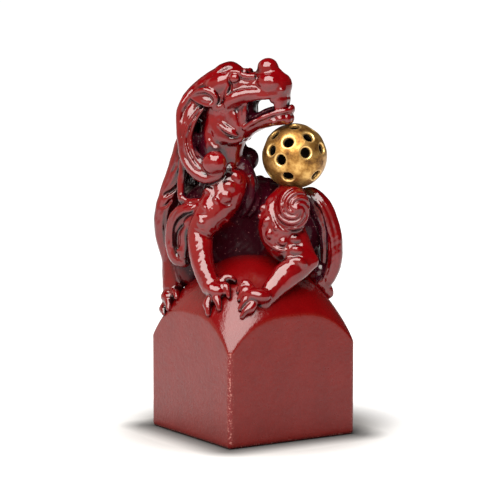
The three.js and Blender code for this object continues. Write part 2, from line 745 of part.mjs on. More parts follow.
// Every piece, in the order in which they are seated: each is trimmed to clear those before it
const pieces = [
  ["seal_block", block, rubbed_red],
  ["ball", ball_form, gilding],
  ["torso", torso, red_glaze],
  ["neck", neck, red_glaze],
  ["head", skull, red_glaze],
  ["lower_jaw", jaw, red_glaze],
  ["right_cheek", cheek(1), red_glaze],
  ["left_cheek", cheek(-1), red_glaze],
  ["left_foreleg", left_foreleg, red_glaze],
  ["right_foreleg", right_foreleg, red_glaze],
  ["left_hindleg", left_hindleg, red_glaze],
  ["right_hindleg", right_hindleg, red_glaze],
  ["left_forepaw", left_forepaw, red_glaze],
  ["left_hindpaw", left_hindpaw, red_glaze],
  ["right_forepaw", right_forepaw, red_glaze],
  ["right_hindpaw", right_hindpaw, red_glaze],
  ["left_haunch_whorl", left_haunch_whorl, red_glaze],
  ["right_haunch_whorl", right_haunch_whorl, red_glaze],
  ["upper_teeth", teeth, red_glaze],
  ["tongue", tongue, dark_red_glaze],
  ["right_eye", eye(1), red_glaze],
  ["left_eye", eye(-1), red_glaze],
  ["right_ear", ear(1), red_glaze],
  ["left_ear", ear(-1), red_glaze],
  ["right_cheek_lock", right_cheek_lock, red_glaze],
  ["left_cheek_lock", left_cheek_lock, red_glaze],
  ["crest", crest, red_glaze],
  ["mane_side_lock", mane_side_lock, red_glaze],
  ["mane_outer_lock", mane_outer_lock, red_glaze],
  ["mane_back_lock", mane_back_lock, red_glaze],
  ["mane_far_lock", mane_far_lock, red_glaze],
  ["spine_ridge", spine, red_glaze],
  ["left_elbow_curl", left_elbow_curl, red_glaze],
  ["tail", tail, red_glaze],
  ["tail_tip", tail_tip, red_glaze],
];

function boxes_meet(a, b) {
  const axes = [0, 1, 2];
  return axes.every((axis) => a.min[axis] < b.max[axis] && b.min[axis] < a.max[axis]);
}

// What is left of a trimmed piece: its main body, without the chips cut off it
function main_body(form) {
  return form.decompose().reduce((main, body) => (body.volume() > main.volume() ? body : main));
}

function mesh_of(name, form, finish) {
  const { vertProperties, triVerts, numProp } = form.getMesh();
  const geometry = new THREE.BufferGeometry();
  const positions = new Float32Array((vertProperties.length / numProp) * 3);
  for (let i = 0; i < positions.length / 3; i += 1) {
    for (let axis = 0; axis < 3; axis += 1) positions[3 * i + axis] = vertProperties[numProp * i + axis];
  }
  geometry.setAttribute("position", new THREE.BufferAttribute(positions, 3));
  geometry.setIndex(new THREE.BufferAttribute(new Uint32Array(triVerts), 1));
  geometry.computeVertexNormals();
  const mesh = new THREE.Mesh(geometry, new THREE.MeshStandardMaterial(finish));
  mesh.name = name;
  return mesh;
}

const seal_stamp = new THREE.Group();
const seated = [];
pieces.forEach(([name, form, finish]) => {
  let own = form(0);
  const own_box = own.boundingBox();
  seated.filter((other) => boxes_meet(own_box, other.box)).forEach((other) => {
    own = own.subtract(other.clear);
  });
  const whole = name === "ball" ? pierced_ball() : main_body(own);
  seal_stamp.add(mesh_of(name, whole, finish));
  const clear = form(seam_gap);
  seated.push({ clear, box: clear.boundingBox() });
});

export default seal_stamp;
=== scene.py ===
"""The looks of the seal stamp: a red glazed beast with a pierced gilt ball on a domed block.

The figure is shaped as clay is: strokes and pellets of clay are laid on, blended and engraved as signed
distances on a grid, piece by piece, and each piece's skin is then taken off as a mesh of its own.
"""

import math

import bpy
import numpy as np
import openvdb
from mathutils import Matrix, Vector


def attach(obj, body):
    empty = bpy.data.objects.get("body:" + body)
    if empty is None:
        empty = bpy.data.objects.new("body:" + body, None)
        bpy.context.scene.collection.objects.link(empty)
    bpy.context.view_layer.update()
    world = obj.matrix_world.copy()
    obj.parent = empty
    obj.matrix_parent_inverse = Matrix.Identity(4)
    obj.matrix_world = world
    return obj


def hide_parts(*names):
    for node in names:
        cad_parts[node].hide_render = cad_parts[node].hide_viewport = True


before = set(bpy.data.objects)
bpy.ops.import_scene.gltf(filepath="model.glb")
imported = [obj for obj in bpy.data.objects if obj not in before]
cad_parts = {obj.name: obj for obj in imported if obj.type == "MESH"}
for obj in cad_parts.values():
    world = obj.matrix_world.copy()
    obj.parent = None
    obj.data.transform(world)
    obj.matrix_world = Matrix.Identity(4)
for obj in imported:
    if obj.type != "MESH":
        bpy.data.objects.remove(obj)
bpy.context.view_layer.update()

# Sizes of the solids, in millimetres
crown_height = 60
block_width = 50
block_corner_height = 30.8
block_side_height = 42.7
block_edge_radius = 1.4
foot_round = 1.3
dome_roundness = 3
dome_edge_round = 0.7
figure_turn = math.radians(-32.7)
ball_diameter = 21.8
ball_wall = 1.9
ball_hole_diameter = 3.5
ball_hole_chamfer = 0.4
ball_centre = np.array([14.1, -4, 33.9])
head_u, head_v = -8, -1
head_turn = math.radians(20)

# Grain of the clay, in millimetres: a margin is kept round each form, and empty cells hold the depth far
cell = 0.3
ball_cell = 0.2
grid_low = np.array([-35.0, -31.0, -31.0])
grid_high = np.array([35.0, 31.0, 69.0])
margin = 3.0
far = 6.0
stroke_step = 0.9
seam_overlap = 0.35
seam_step = 0.012
slow_swell, quick_swell = 0.045, 0.025

# How far lines are followed into a form, and from where in front of the figure
sight = 60
sight_step = 0.15
in_front = -30
line_step = 0.8
line_fade = 0.8

# Small relief on the limbs
knob_depth = 1.2
relief_blend = 0.35


# Places in the figure's frame: u to the right of the photo, v away from its viewer, h above the crown
def at(u, v, h):
    return np.array([u, v, h], float)


def to_block(points):
    """Points of the figure's frame in the block's frame, in millimetres."""
    turned = np.array(points, float)
    c, s = math.cos(figure_turn), math.sin(figure_turn)
    x = turned[..., 0] * c - turned[..., 1] * s
    y = turned[..., 0] * s + turned[..., 1] * c
    return np.stack([x, y, turned[..., 2] + crown_height], -1)


def dome_height(x, y):
    """Height of the block's domed top, from the heights at its crown, sides and corners."""
    half = block_width / 2
    reach = (np.abs(x) ** dome_roundness + np.abs(y) ** dome_roundness) ** (1 / dome_roundness)
    side_drop = crown_height - block_side_height
    corner_drop = crown_height - block_corner_height
    fall = math.log(corner_drop / side_drop) / math.log(2 ** (1 / dome_roundness))
    return crown_height - side_drop * (reach / half) ** fall


def on_dome(u, v, lift):
    x, y, _ = to_block(at(u, v, 0))
    return at(u, v, dome_height(x, y) - crown_height + lift)


# The head's frame: f forward to the nose, s to the side that faces the viewer
head_axes = np.array([
    [math.cos(head_turn), -math.sin(head_turn), 0],
    [-math.sin(head_turn), -math.cos(head_turn), 0],
    [0, 0, 1],
])


def on_head(f, s, h):
    return at(head_u, head_v, 0) + f * head_axes[0] + s * head_axes[1] + at(0, 0, h)


def head_side(side):
    return side * head_axes[1]


origin = at(0, 0, 0)
away = at(0, 1, 0)
toward_viewer = at(0, -1, 0)
upward = at(0, 0, 1)
forward = head_axes[0]


# Clay
def cell_below(point):
    return np.floor((np.array(point) - grid_low) / cell).astype(int)


def cell_above(point):
    return np.ceil((np.array(point) - grid_low) / cell).astype(int) + 1


class Clay:
    """A form as signed distances, below zero inside, on the part of the grid that it needs."""

    def __init__(self, low, high):
        count = cell_above(grid_high)
        self.start = np.clip(cell_below(low), 0, count - 2)
        stop = np.clip(cell_above(high), 2, count)
        self.depth = np.full(np.maximum(stop - self.start, 2), far, np.float32)

    @property
    def stop(self):
        return self.start + np.array(self.depth.shape)

    def slices(self, first, last):
        """The slices of this clay between two cells of the grid."""
        return tuple(slice(a, b) for a, b in zip(first - self.start, last - self.start))

    def window(self, low, high):
        """The slices of this clay between two corners, and the u, v and h of their cells."""
        first = np.maximum(cell_below(low), self.start)
        last = np.maximum(np.minimum(cell_above(high), self.stop), first)
        axes = [(grid_low[i] + cell * np.arange(first[i], last[i])).astype(np.float32) for i in range(3)]
        return self.slices(first, last), np.ix_(*axes)

    def overlap(self, other):
        """The slices of this clay and of another where the two share cells."""
        first = np.maximum(self.start, other.start)
        last = np.maximum(np.minimum(self.stop, other.stop), first)
        return self.slices(first, last), other.slices(first, last)

    def low_high(self):
        return grid_low + cell * self.start, grid_low + cell * (self.stop - 1)

    def lay(self, other, blend):
        """Lays another form on this one, with a fillet as wide as blend."""
        own, others = self.overlap(other)
        self.depth[own] = soft_least(self.depth[own], other.depth[others], blend)

    def cut(self, other, blend):
        """Takes another form out of this one."""
        own, others = self.overlap(other)
        self.depth[own] = -soft_least(-self.depth[own], other.depth[others], blend)


def soft_least(a, b, blend):
    least = np.minimum(a, b)
    if blend <= 0:
        return least
    near = np.maximum(blend - np.abs(a - b), 0) / blend
    return least - near * near * blend / 4


def joined(blend, *forms):
    """One form from several, laid on in turn."""
    lows, highs = zip(*(form.low_high() for form in forms))
    whole = Clay(np.min(lows, 0), np.max(highs, 0))
    for form in forms:
        whole.lay(form, blend)
    return whole


def smooth_path(stations, spacing):
    """Points, half widths and half thicknesses along a smooth curve through the stations."""
    rows = np.array([[*point, wide, thick] for point, wide, thick in stations], float)
    gaps = np.linalg.norm(np.diff(rows[:, :3], axis=0), axis=1)
    knots = np.concatenate([[0], np.cumsum(np.sqrt(gaps))])
    steps = np.diff(knots)[:, None]
    rates = np.diff(rows, axis=0) / steps
    slopes = np.empty_like(rows)
    slopes[0], slopes[-1] = rates[0], rates[-1]
    across = (rows[2:] - rows[:-2]) / (steps[1:] + steps[:-1])
    slopes[1:-1] = rates[:-1] + rates[1:] - across
    samples = [rows[:1]]
    for i, gap in enumerate(gaps):
        count = max(1, math.ceil(gap / spacing))
        t = (np.arange(1, count + 1) / count)[:, None]
        a, b = rows[i], rows[i + 1]
        da, db = slopes[i] * steps[i], slopes[i + 1] * steps[i]
        samples.append((2 * t**3 - 3 * t**2 + 1) * a + (t**3 - 2 * t**2 + t) * da
                       + (3 * t**2 - 2 * t**3) * b + (t**3 - t**2) * db)
    return np.concatenate(samples)


def unit(vector):
    vector = np.asarray(vector, float)
    return vector / np.linalg.norm(vector)


def span(places, start, axis):
    """How far places, given as their u, v and h, lie from a start along an axis."""
    du, dv, dh = (place - first for place, first in zip(places, start))
    return du * axis[0] + dv * axis[1] + dh * axis[2]


def stroke(stations, facing, strands=0, strand_depth=0.0):
    """A roll of clay along a smooth curve through stations, each [centre, half width, half thickness].
    The thickness lies along facing. Strands part its width into hairs, with furrows between them."""
    path = smooth_path(stations, stroke_step)
    path[:, 3:] = np.maximum(path[:, 3:], 0.2)
    reach = path[:, 3:].max() + margin
    form = Clay(path[:, :3].min(0) - reach, path[:, :3].max(0) + reach)
    for a, b in zip(path[:-1], path[1:]):
        length = np.linalg.norm(b[:3] - a[:3])
        if length < 1e-6:
            continue
        along = (b[:3] - a[:3]) / length
        normal = unit(facing - along * np.dot(facing, along))
        side = np.cross(normal, along)
        reach = max(a[3:].max(), b[3:].max()) + margin
        parts, places = form.window(np.minimum(a[:3], b[:3]) - reach, np.maximum(a[:3], b[:3]) + reach)
        run = span(places, a, along)
        share = np.clip(run / length, 0, 1)
        past = run - share * length
        wide = a[3] + (b[3] - a[3]) * share
        thick = a[4] + (b[4] - a[4]) * share
        cap = np.minimum(wide, thick)
        x = span(places, a, side)
        depth = oval_depth(x, span(places, a, normal), past, wide, thick, cap)
        if strands:
            place = strands * (x / wide + 1) / 2
            depth += strand_depth * (1 - np.sqrt(np.abs(np.sin(math.pi * place))))
        form.depth[parts] = np.minimum(form.depth[parts], depth)
    return form


def roll(rows, facing=toward_viewer, **hairs):
    """A stroke through rows (u, v, h, half width, half thickness). A row with one size is round, and one
    of three entries is a finished station."""
    stations = [row if len(row) == 3 else [at(*row[:3]), row[3], row[-1]] for row in rows]
    return stroke(stations, facing, **hairs)


def head_roll(side, rows, facing=None, **hairs):
    """A stroke through rows (f, s, h, half width, half thickness) on one side of the head. A row with one
    size is round."""
    stations = [[on_head(f, side * s, h), sizes[0], sizes[-1]] for f, s, h, *sizes in rows]
    return stroke(stations, head_side(side) if facing is None else facing, **hairs)


def oval_depth(x, y, z, wide, thick, deep):
    """About the signed distance to an oval body with these half sizes."""
    px, py, pz = x / wide, y / thick, z / deep
    whole = np.sqrt(px * px + py * py + pz * pz)
    px, py, pz = px / wide, py / thick, pz / deep
    slope = np.sqrt(px * px + py * py + pz * pz) + 1e-6
    return whole * (whole - 1) / slope


def pellet(centre, along, facing, length, width, thickness):
    """An egg of clay: half its length lies along its first direction, half its thickness along facing."""
    along = unit(along)
    normal = unit(facing - along * np.dot(facing, along))
    side = np.cross(along, normal)
    reach = max(length, width, thickness) + margin
    form = Clay(centre - reach, centre + reach)
    parts, places = form.window(*form.low_high())
    x, y, z = (span(places, centre, axis) for axis in (side, normal, along))
    form.depth[parts] = oval_depth(x, y, z, width, thickness, length)
    return form


def bead(centre, radius):
    return pellet(centre, upward, away, radius, radius, radius)


def head_egg(side, f, s, h, along, length, width, thick, facing=None):
    """A pellet on one side of the head. Its thickness lies sideways unless facing says otherwise."""
    facing = head_side(side) if facing is None else facing
    return pellet(on_head(f, side * s, h), along, facing, length, width, thick)


def engrave(form, line, width, depth, look, near, beyond):
    """Draws a line into a form, or as a ridge where depth is below zero. The line's points are places, seen
    along look, and the line goes no deeper than from near to beyond along it."""
    look = unit(look)
    across = unit(np.cross(look, upward))
    rise = np.cross(across, look)
    points = smooth_path([[p, 1, 1] for p in line], line_step)[:, :3]
    flat = np.stack([points @ across, points @ rise], -1)
    low, high = form.low_high()
    reach = width + cell + abs(look) * sight
    first, last = (points - reach).min(0), (points + reach).max(0)
    parts, places = form.window(np.maximum(low, first), np.minimum(high, last))
    if min(form.depth[parts].shape) == 0:
        return
    a, b, c = np.broadcast_arrays(*(span(places, origin, axis) for axis in (across, rise, look)))
    best = np.full(a.shape, np.float32(1e3))
    fade = np.zeros(a.shape, np.float32)
    count = len(flat) - 1
    for i, (p, q) in enumerate(zip(flat[:-1], flat[1:])):
        run = q - p
        square = max(float(run @ run), 1e-9)
        share = np.clip(((a - p[0]) * run[0] + (b - p[1]) * run[1]) / square, 0, 1)
        square_gap = (a - p[0] - share * run[0]) ** 2 + (b - p[1] - share * run[1]) ** 2
        nearer = square_gap < best
        best = np.where(nearer, square_gap, best)
        place = (i + share) / count
        fade = np.where(nearer, np.minimum(1, 4 * np.minimum(place, 1 - place) + 0.15), fade)
    profile = np.clip(1 - best / width**2, 0, 1) ** 2
    inside = np.clip((c - near) / line_fade, 0, 1) * np.clip((beyond - c) / line_fade, 0, 1)
    form.depth[parts] += depth * profile * fade * inside


def engrave_side(form, lines, beyond):
    """Draws lines, each (places (u, h), width, depth), into the side of a form that faces the viewer."""
    for line, width, depth in lines:
        engrave(form, [at(u, 0, h) for u, h in line], width, depth, away, in_front, beyond)


def engrave_head(form, line, width, depth):
    """Draws a line, given by its places forward and up, into both sides of the head."""
    for s in (1, -1):
        look = head_side(s)
        near = np.dot(on_head(0, s * 3, 0), look)
        engrave(form, [on_head(f, s * 6, h) for f, h in line], width, depth, look, near, near + 12)


def sampled(depth, points):
    """The field at points given in cells, read between its cells."""
    top = np.array(depth.shape) - 1.001
    spot = np.clip(points, 0, top)
    base = np.floor(spot).astype(int)
    part = spot - base
    total = np.zeros(len(points))
    for corner in np.ndindex(2, 2, 2):
        weight = np.prod(np.where(corner, part, 1 - part), axis=1)
        total += weight * depth[tuple((base + corner).T)]
    return total


def skin(form, place, look):
    """Where a straight line from a place, drawn along look, first meets a form."""
    spots = place + np.arange(0, sight, sight_step)[:, None] * unit(look)
    depths = sampled(form.depth, (spots - grid_low) / cell - form.start)
    return spots[np.argmax(depths <= max(0, depths.min()))]


def knobs(form, proud, lean, *rows):
    """Lays small eggs of clay, each (u, h, half height, half width), on the side that faces the viewer."""
    for u, h, tall, wide in rows:
        centre = skin(form, at(u, in_front, h), away) + away * (knob_depth - proud)
        form.lay(pellet(centre, [lean, 0, 1], toward_viewer, tall, wide, knob_depth), relief_blend)


def ridge(form, line, wide, proud=0.4):
    """Lays a thin roll of clay along places (u, h) on the side of a form that faces the viewer."""
    points = [skin(form, at(u, in_front, h), away) + away * (wide - proud) for u, h in line]
    form.lay(stroke([[point, wide, wide] for point in points], toward_viewer), relief_blend)


# Half thicknesses of the limbs
thigh = 8.2
upper_arm = 6.2
forearm = 4.1
shin = 3.9
toe = 1.5


# Body
def torso():
    body = roll([
        (-16.5, 3, 8.5, 11.5, 7.5), (-11, 2.5, 11, 15, 9), (-2, 4, 10.2, 14.3, 9.8), (6, 5, 9.6, 13.4, 9.6),
        (13, 4.5, 9.4, 11.4, 9.5), (18, 5, 8, 8, 7.4),
    ])
    breast = roll([
        (-3.6, -1, 29.5, 3.6), (-2.4, -2.2, 24, 4.4, 4.2), (-2.6, -3, 17, 4.4, 4), (-5, -3.4, 10, 4, 3.6),
    ])
    rump = pellet(at(19.5, 7.5, 1), upward, away, 9.5, 6, 6)
    belly_front = pellet(at(-20.5, 3.5, -2.5), upward, away, 9.5, 5.6, 5)
    withers = roll([(-8, 3.5, 23, 5), (-1, 6, 20.4, 4.8, 4.6), (7, 7, 18.4, 4.8, 4.6)])
    form = joined(3.0, body, breast, rump, belly_front, withers)
    form.cut(pellet(at(-3, -10, -2), upward, away, 20, 13, 12), 2.0)
    ridge(form, [(-0.6, 27), (-0.1, 23.1), (-0.5, 19.2), (-1.8, 16.2), (-3.1, 13.9)], 1.2, 0.9)
    ridge(form, [(2.2, 19.4), (0.9, 16.2), (-0.8, 13.6)], 0.7, 0.6)
    ridge(form, [(5.4, 24), (5.8, 20), (4.6, 16), (2.6, 12.6)], 0.9, 0.7)
    return form


def spine_ridge():
    places = ((-6.5, 9.2, 23.8), (-1.5, 9.4, 24.4), (4, 9.2, 23.4), (11, 8.7, 21), (17, 6.8, 18.2))
    path = smooth_path([[at(*place), 2.3, 2.3] for place in places], 0.5)
    beads = []
    for share in np.linspace(0, 1, 9):
        row = path[round(share * (len(path) - 1))]
        beads.append(pellet(row[:3], upward, away, row[3] * 1.1, row[3] * 0.95, row[3] * 0.85))
    return joined(0.8, *beads)


def neck():
    column = roll([
        (-9.5, 1, 20, 8), (-11.5, 0.5, 30, 6.8, 7.4), (-11, 0, 38, 7.4, 7.6), (-9.5, -0.5, 46, 7.5, 7.2),
    ])
    throat = head_roll(1, [(4.5, 0, 42, 2, 4), (3, 0, 36, 1.8, 3.6), (2.2, 0, 30, 1.8, 3.2)])
    form = joined(2.0, column, throat)
    for s in (1, -1):
        form = joined(1.8, form, head_roll(s, [
            (-2.5, 5.4, 42.6, 0.7), (-0.1, 5.7, 40.9, 1.3, 1.2), (3, 5.3, 39.4, 1.4, 1.3),
            (5.6, 4.3, 39.8, 1.1),
        ]))
    engrave_head(form, [(-4, 43), (-3.6, 40.6), (-2.4, 38.6), (-0.4, 37)], 1.6, 0.6)
    return form


# Head
# Muzzle, upper lip, the crease before the cheek, and the upper and lower eyelid, with the fillet of each
face_rolls = (
    ([
        (1.7, 5.4, 49.8, 1.3, 1.4), (2.7, 6.4, 51.9, 2.1), (4.7, 6.6, 53.4, 2.3), (7.8, 6, 54.5, 2.2),
        (11, 5.1, 55, 1.9, 1.8), (13.6, 4.3, 55.4, 1.5), (16.8, 3.9, 55.6, 1.2),
    ], 1.0),
    ([
        (3.4, 5.8, 50, 0.8, 0.9), (5.3, 6, 51.5, 1.1, 1.2), (7.4, 5.8, 52.6, 1.2, 1.3),
        (9.8, 5.4, 53.4, 1.2, 1.3), (13.7, 4.8, 54.1, 1.2, 1.3), (18.2, 3.7, 54.6, 1.3),
        (20, 2.2, 55, 1.3, 1.2), (20.4, 0.5, 55, 1.2),
    ], 0.8),
    ([
        (3.2, 5.5, 62.4, 0.6, 0.8), (2.0, 6, 60.8, 0.8), (1.7, 6.3, 59.4, 0.8), (2.5, 6.4, 58, 0.7, 0.8),
        (2.1, 6.5, 56.2, 0.7, 0.8), (1.6, 6.5, 54.2, 0.7, 0.8), (1.7, 6.4, 52.2, 0.5, 0.6),
    ], 0.4),
    ([
        (2.9, 5.6, 61.8, 0.6, 0.8), (4.5, 5.3, 62.2, 0.8, 0.9), (6.1, 5, 61.6, 0.7, 0.8),
        (6.8, 4.9, 60.2, 0.5, 0.6),
    ], 0.4),
    ([(2.9, 5.9, 58.5, 0.4, 0.5), (4.6, 5.7, 57.7, 0.6, 0.7), (6.5, 5.2, 58.7, 0.4, 0.5)], 0.4),
)
# Knobs of the brow: forward, sideways, up, half height and half width
brow_knobs = (
    (6.6, 2.8, 62, 1.3, 1.2), (7.6, 4.7, 60.8, 1.2, 0.8), (9, 4.4, 60.6, 1.1, 0.8), (10.5, 4.2, 60.6, 1, 0.8),
)


def head():
    skull = head_roll(1, [
        (-8, 0, 50.5, 7.4, 6), (-2, 0, 55, 8.2, 6.9), (3, 0, 56.6, 6.6, 6.5), (8, 0, 57.2, 4.7, 5.4),
        (13, 0, 57.8, 4, 4.7), (17, 0, 58, 4.2, 4.4), (18.6, 0, 57.8, 3.8, 3.6),
    ])
    form = joined(
        1.8, skull,
        head_egg(1, 0.4, 0, 61.4, forward, 4.6, 3.7, 4.6),
        head_egg(1, 18.2, 0, 57.2, upward, 4.2, 3.2, 4.3),
    )
    for s in (1, -1):
        form.lay(head_egg(s, 15.4, 3, 58.6, forward, 4.3, 3.5, 3.4, head_side(s) + 0.3 * upward), 0.5)
        form.lay(head_egg(s, 18.6, 3.4, 56, forward, 2.6, 1.2, 1.4), 1.0)
        form.lay(head_egg(s, 6.6, 4.6, 48.4, upward, 5, 2.2, 1.6), 0.8)
    form.lay(head_egg(1, 14.3, 0, 61, forward, 4.8, 3.4, 3.8), 1.0)
    form.lay(head_egg(1, 14, 0, 63.2, forward, 3.6, 3.5, 3.7), 0.5)
    for s in (1, -1):
        for rows, blend in face_rolls:
            form.lay(head_roll(s, rows), blend)
        for f, across, h, tall, wide in brow_knobs:
            form.lay(head_egg(s, f, across, h, upward, tall, wide, 1), 0.9)
        facing = head_side(s) + 0.65 * upward
        form.lay(head_egg(s, -1.8, 5.4, 58.4, forward + 0.45 * upward, 5, 3.3, 2.4, facing), 0.9)
    engrave_head(form, [(3, 62), (2.9, 60), (2.7, 58.8), (3.4, 57.6), (3, 56), (2.5, 54.8)], 0.6, 0.5)
    engrave_head(form, [(11, 62.4), (13, 61.6), (15, 61.8), (17, 62.4)], 0.7, 0.3)
    engrave_head(form, [(3, 63.6), (0.8, 62.6), (-1.9, 61.4), (-5.1, 60)], 0.7, 0.5)
    return form


def lower_jaw():
    form = head_roll(1, [
        (-1, 0, 42, 5, 5.4), (3.5, 0, 41.6, 3.8, 5.8), (8, 0, 43, 2.2, 5.3), (12, 0, 44.8, 2, 4.9),
        (16, 0, 46.2, 2.2, 4.6), (19.6, 0, 46.9, 2.4, 4),
    ])
    for s in (1, -1):
        form = joined(0.6, form, head_roll(s, [
            (7.6, 5.2, 43.6, 0.9), (10, 5.2, 45.2, 0.9), (13.6, 4.9, 47, 0.85), (17.4, 4.2, 48.5, 0.9),
            (20.8, 2.8, 49.3, 1), (21.9, 0.6, 49.5, 1),
        ]))
        form.lay(head_egg(s, 19.4, 3.5, 46.6, forward, 1.5, 1.1, 1.3), 0.7)
        form.lay(head_egg(s, 21.6, 1.4, 46.6, upward, 1.8, 1.2, 1.6), 0.8)
        form.lay(head_egg(s, 17.6, 3.9, 45.8, forward, 1.1, 0.9, 1.2), 0.5)
        form.lay(head_egg(s, 22.2, 0.7, 49.8, upward, 1.6, 1, 1.3), 0.8)
    return form


def cheek(s):
    tilted = head_side(s) - 0.45 * upward
    leaf = head_egg(s, 2.4, 5.4, 46.4, forward * 0.5 - upward, 5.8, 3.6, 1.6, tilted)
    upper = head_egg(s, -1.2, 5.3, 48.8, forward, 4.6, 3, 1.9, tilted)
    lower_ridge = head_roll(s, [
        (-3.6, 6.2, 46.2, 0.4), (-1.2, 6.8, 44.6, 0.6), (1.1, 7.2, 43.1, 0.8, 0.9), (3.2, 7.2, 42.1, 0.9, 1),
        (5.2, 6.6, 41.2, 0.7, 0.8),
    ])
    second_ridge = head_roll(s, [
        (0.6, 7.1, 45.2, 0.3, 0.4), (2.2, 7.2, 44.1, 0.4, 0.6), (3.8, 7, 43.2, 0.4, 0.6),
        (5, 6.7, 42.6, 0.3, 0.4),
    ])
    corner = head_roll(s, [
        (8.4, 5.4, 51.8, 0.6, 0.7), (7.8, 5.7, 50, 0.9, 1), (7.7, 5.7, 48.2, 0.9, 1),
        (7.9, 5.4, 46.4, 0.6, 0.7),
    ])
    form = joined(0.6, leaf, upper, lower_ridge, second_ridge, corner)
    engrave_head(form, [(6.8, 50.6), (6.2, 48.6), (6.1, 46.2), (6.4, 44)], 1.1, 0.55)
    return form


def tongue():
    root = head_egg(1, 7, 0, 49.6, upward, 4.4, 2.6, 4.8)
    return joined(1.0, root, head_roll(1, [
        (5, 0, 45.6, 1.5, 3.4), (9.6, 0, 46.8, 1.3, 3.4), (14, 0, 49, 1.1, 2.8), (17, 0, 50.2, 0.8, 2),
    ]))


def upper_teeth():
    form = head_roll(1, [
        (17, 3.4, 53, 1.6, 1.2), (19.6, 1.8, 53, 1.6, 1.2), (19.6, -1.8, 53, 1.6, 1.2),
        (17, -3.4, 53, 1.6, 1.2),
    ], facing=upward)
    fangs = ((18.6, 3.2, 49.6, 1.3), (20, 1.6, 50, 1.3))
    for f, across, low, radius in fangs:
        for s in (1, -1):
            form = joined(0.6, form, head_roll(s, [
                (f, across, 54, radius), (f, across, 52, radius * 0.95), (f, across, low, radius * 0.7),
            ]))
    form.lay(head_egg(1, 19.4, 0, 51.8, upward, 3.4, 3.2, 1.3, forward), 0.5)
    for s in (1, -1):
        form.lay(head_egg(s, 18.9, 2.9, 51.9, upward, 3.6, 1.7, 1.4), 0.6)
    return form


def eye(s):
    return head_egg(s, 4.2, 5.7, 59.9, upward, 1.8, 1.9, 1.6)


def ear(s):
    out = 7.5
    back = head_egg(s, -5.6, out - 1.1, 53.3, 0.14 * upward - forward, 5.4, 2.7, 1.2)
    rim = head_roll(s, [
        (-10.9, out - 0.9, 53.6, 0.5, 0.6), (-8.6, out - 0.2, 55.3, 0.8), (-5.4, out + 0.2, 56, 1),
        (-2.8, out + 0.3, 55, 1.1, 1), (-1.6, out + 0.1, 53.2, 1), (-2.2, out, 51.5, 0.8),
        (-4.8, out - 0.1, 50.9, 0.7), (-8, out - 0.3, 52, 0.6), (-10.9, out - 0.9, 53.5, 0.5, 0.6),
    ])
    inner = head_roll(s, [
        (-8.6, out - 0.6, 53, 0.4, 0.5), (-6, out - 0.2, 52.6, 0.8, 0.7), (-3.8, out - 0.1, 52.3, 0.8, 0.7),
    ])
    lobe = head_roll(s, [
        (-2.6, out - 0.5, 50.4, 0.7), (-0.8, out - 0.6, 50.3, 0.9, 0.8), (0.6, out - 0.9, 51.3, 0.6),
    ])
    return joined(0.4, back, rim, inner, lobe)


# Hair
def crest():
    return head_roll(1, [
        (3.2, 0, 62.4, 2.2, 1.2), (0.8, 0, 62.6, 3.8, 2.7), (-3.5, 0, 60.0, 5.4, 3),
        (-8.5, 0, 56.6, 6.2, 3.2), (-12.8, 0, 52.4, 6.2, 3.2), (-15.2, 0, 47, 5.6, 3),
    ], facing=upward - 0.8 * forward, strands=7, strand_depth=0.12)


def right_cheek_lock():
    outer = head_roll(1, [
        (-10, 4, 56.2, 1.6), (-12.8, 5.6, 52.6, 1.7, 1.9), (-14.5, 6.2, 49, 1.6, 2.1),
        (-14.6, 6.8, 45.4, 1.5, 2.2), (-14.2, 7.4, 41.6, 1.5, 2.3), (-13.6, 7.8, 38, 1.5, 2.3),
        (-12.9, 8.2, 34.6, 1.7, 2.2), (-11.2, 8.8, 31.6, 1.8, 2.3), (-9, 9.4, 29.2, 1.9, 2.4),
        (-6, 9.9, 27.4, 2.1, 2.4), (-2.8, 10.2, 26.9, 2.2, 2.4), (0, 10, 28.3, 2.1, 2.2),
        (1.3, 9.6, 31.4, 1.8),
    ])
    middle = head_roll(1, [
        (-7.7, 7.2, 50, 0.5, 0.9), (-9.8, 7.9, 46.6, 0.65, 1.2), (-11.2, 8.6, 43.2, 0.7, 1.4),
        (-11.8, 9, 39.6, 0.7, 1.5), (-11.1, 9.5, 36.2, 0.75, 1.5), (-9.4, 10, 33, 0.8, 1.5),
        (-7.2, 10.4, 30.4, 0.8, 1.4), (-4.6, 10.6, 28.8, 0.5, 0.9),
    ])
    inner = head_roll(1, [
        (-6.3, 7, 49.8, 0.4, 0.8), (-8.4, 7.8, 46.4, 0.55, 1.1), (-9.7, 8.3, 43.1, 0.6, 1.3),
        (-10.1, 8.7, 39.5, 0.6, 1.3), (-9.3, 9.3, 36.2, 0.65, 1.3), (-7.6, 9.8, 33.2, 0.65, 1.2),
        (-5.6, 10.2, 31.2, 0.4, 0.8),
    ])
    bed = head_roll(1, [
        (-9.6, 5, 51.5, 2.2, 1.6), (-11.8, 6.4, 46, 2.6, 2.2), (-12.2, 7.2, 41, 2.6, 2.4),
        (-11.4, 8, 36.4, 2.6, 2.4), (-9, 8.4, 32.6, 3, 2.1), (-5, 9.2, 30, 3, 2.2), (-1.6, 9.4, 29.6, 3, 2.2),
    ])
    curl = head_egg(1, -1, 10.6, 32, upward, 4.1, 4.2, 3.7)
    return joined(0.35, joined(0.3, bed, outer, middle, inner), curl)


def left_cheek_lock():
    band = head_roll(-1, [
        (-5, 6.4, 51, 2.6, 2.2), (-3, 8.2, 45, 3.6, 2.6), (-2, 9.2, 39, 4.2, 2.8), (-0.6, 9.6, 33, 4.6, 2.8),
        (1.6, 9.4, 28, 4, 2.8), (4, 8.8, 25, 2.6, 2.2),
    ], strands=4, strand_depth=0.4)
    return joined(0.6, band, head_egg(-1, 2.9, 10, 31.9, upward, 4.2, 4.2, 3.6))


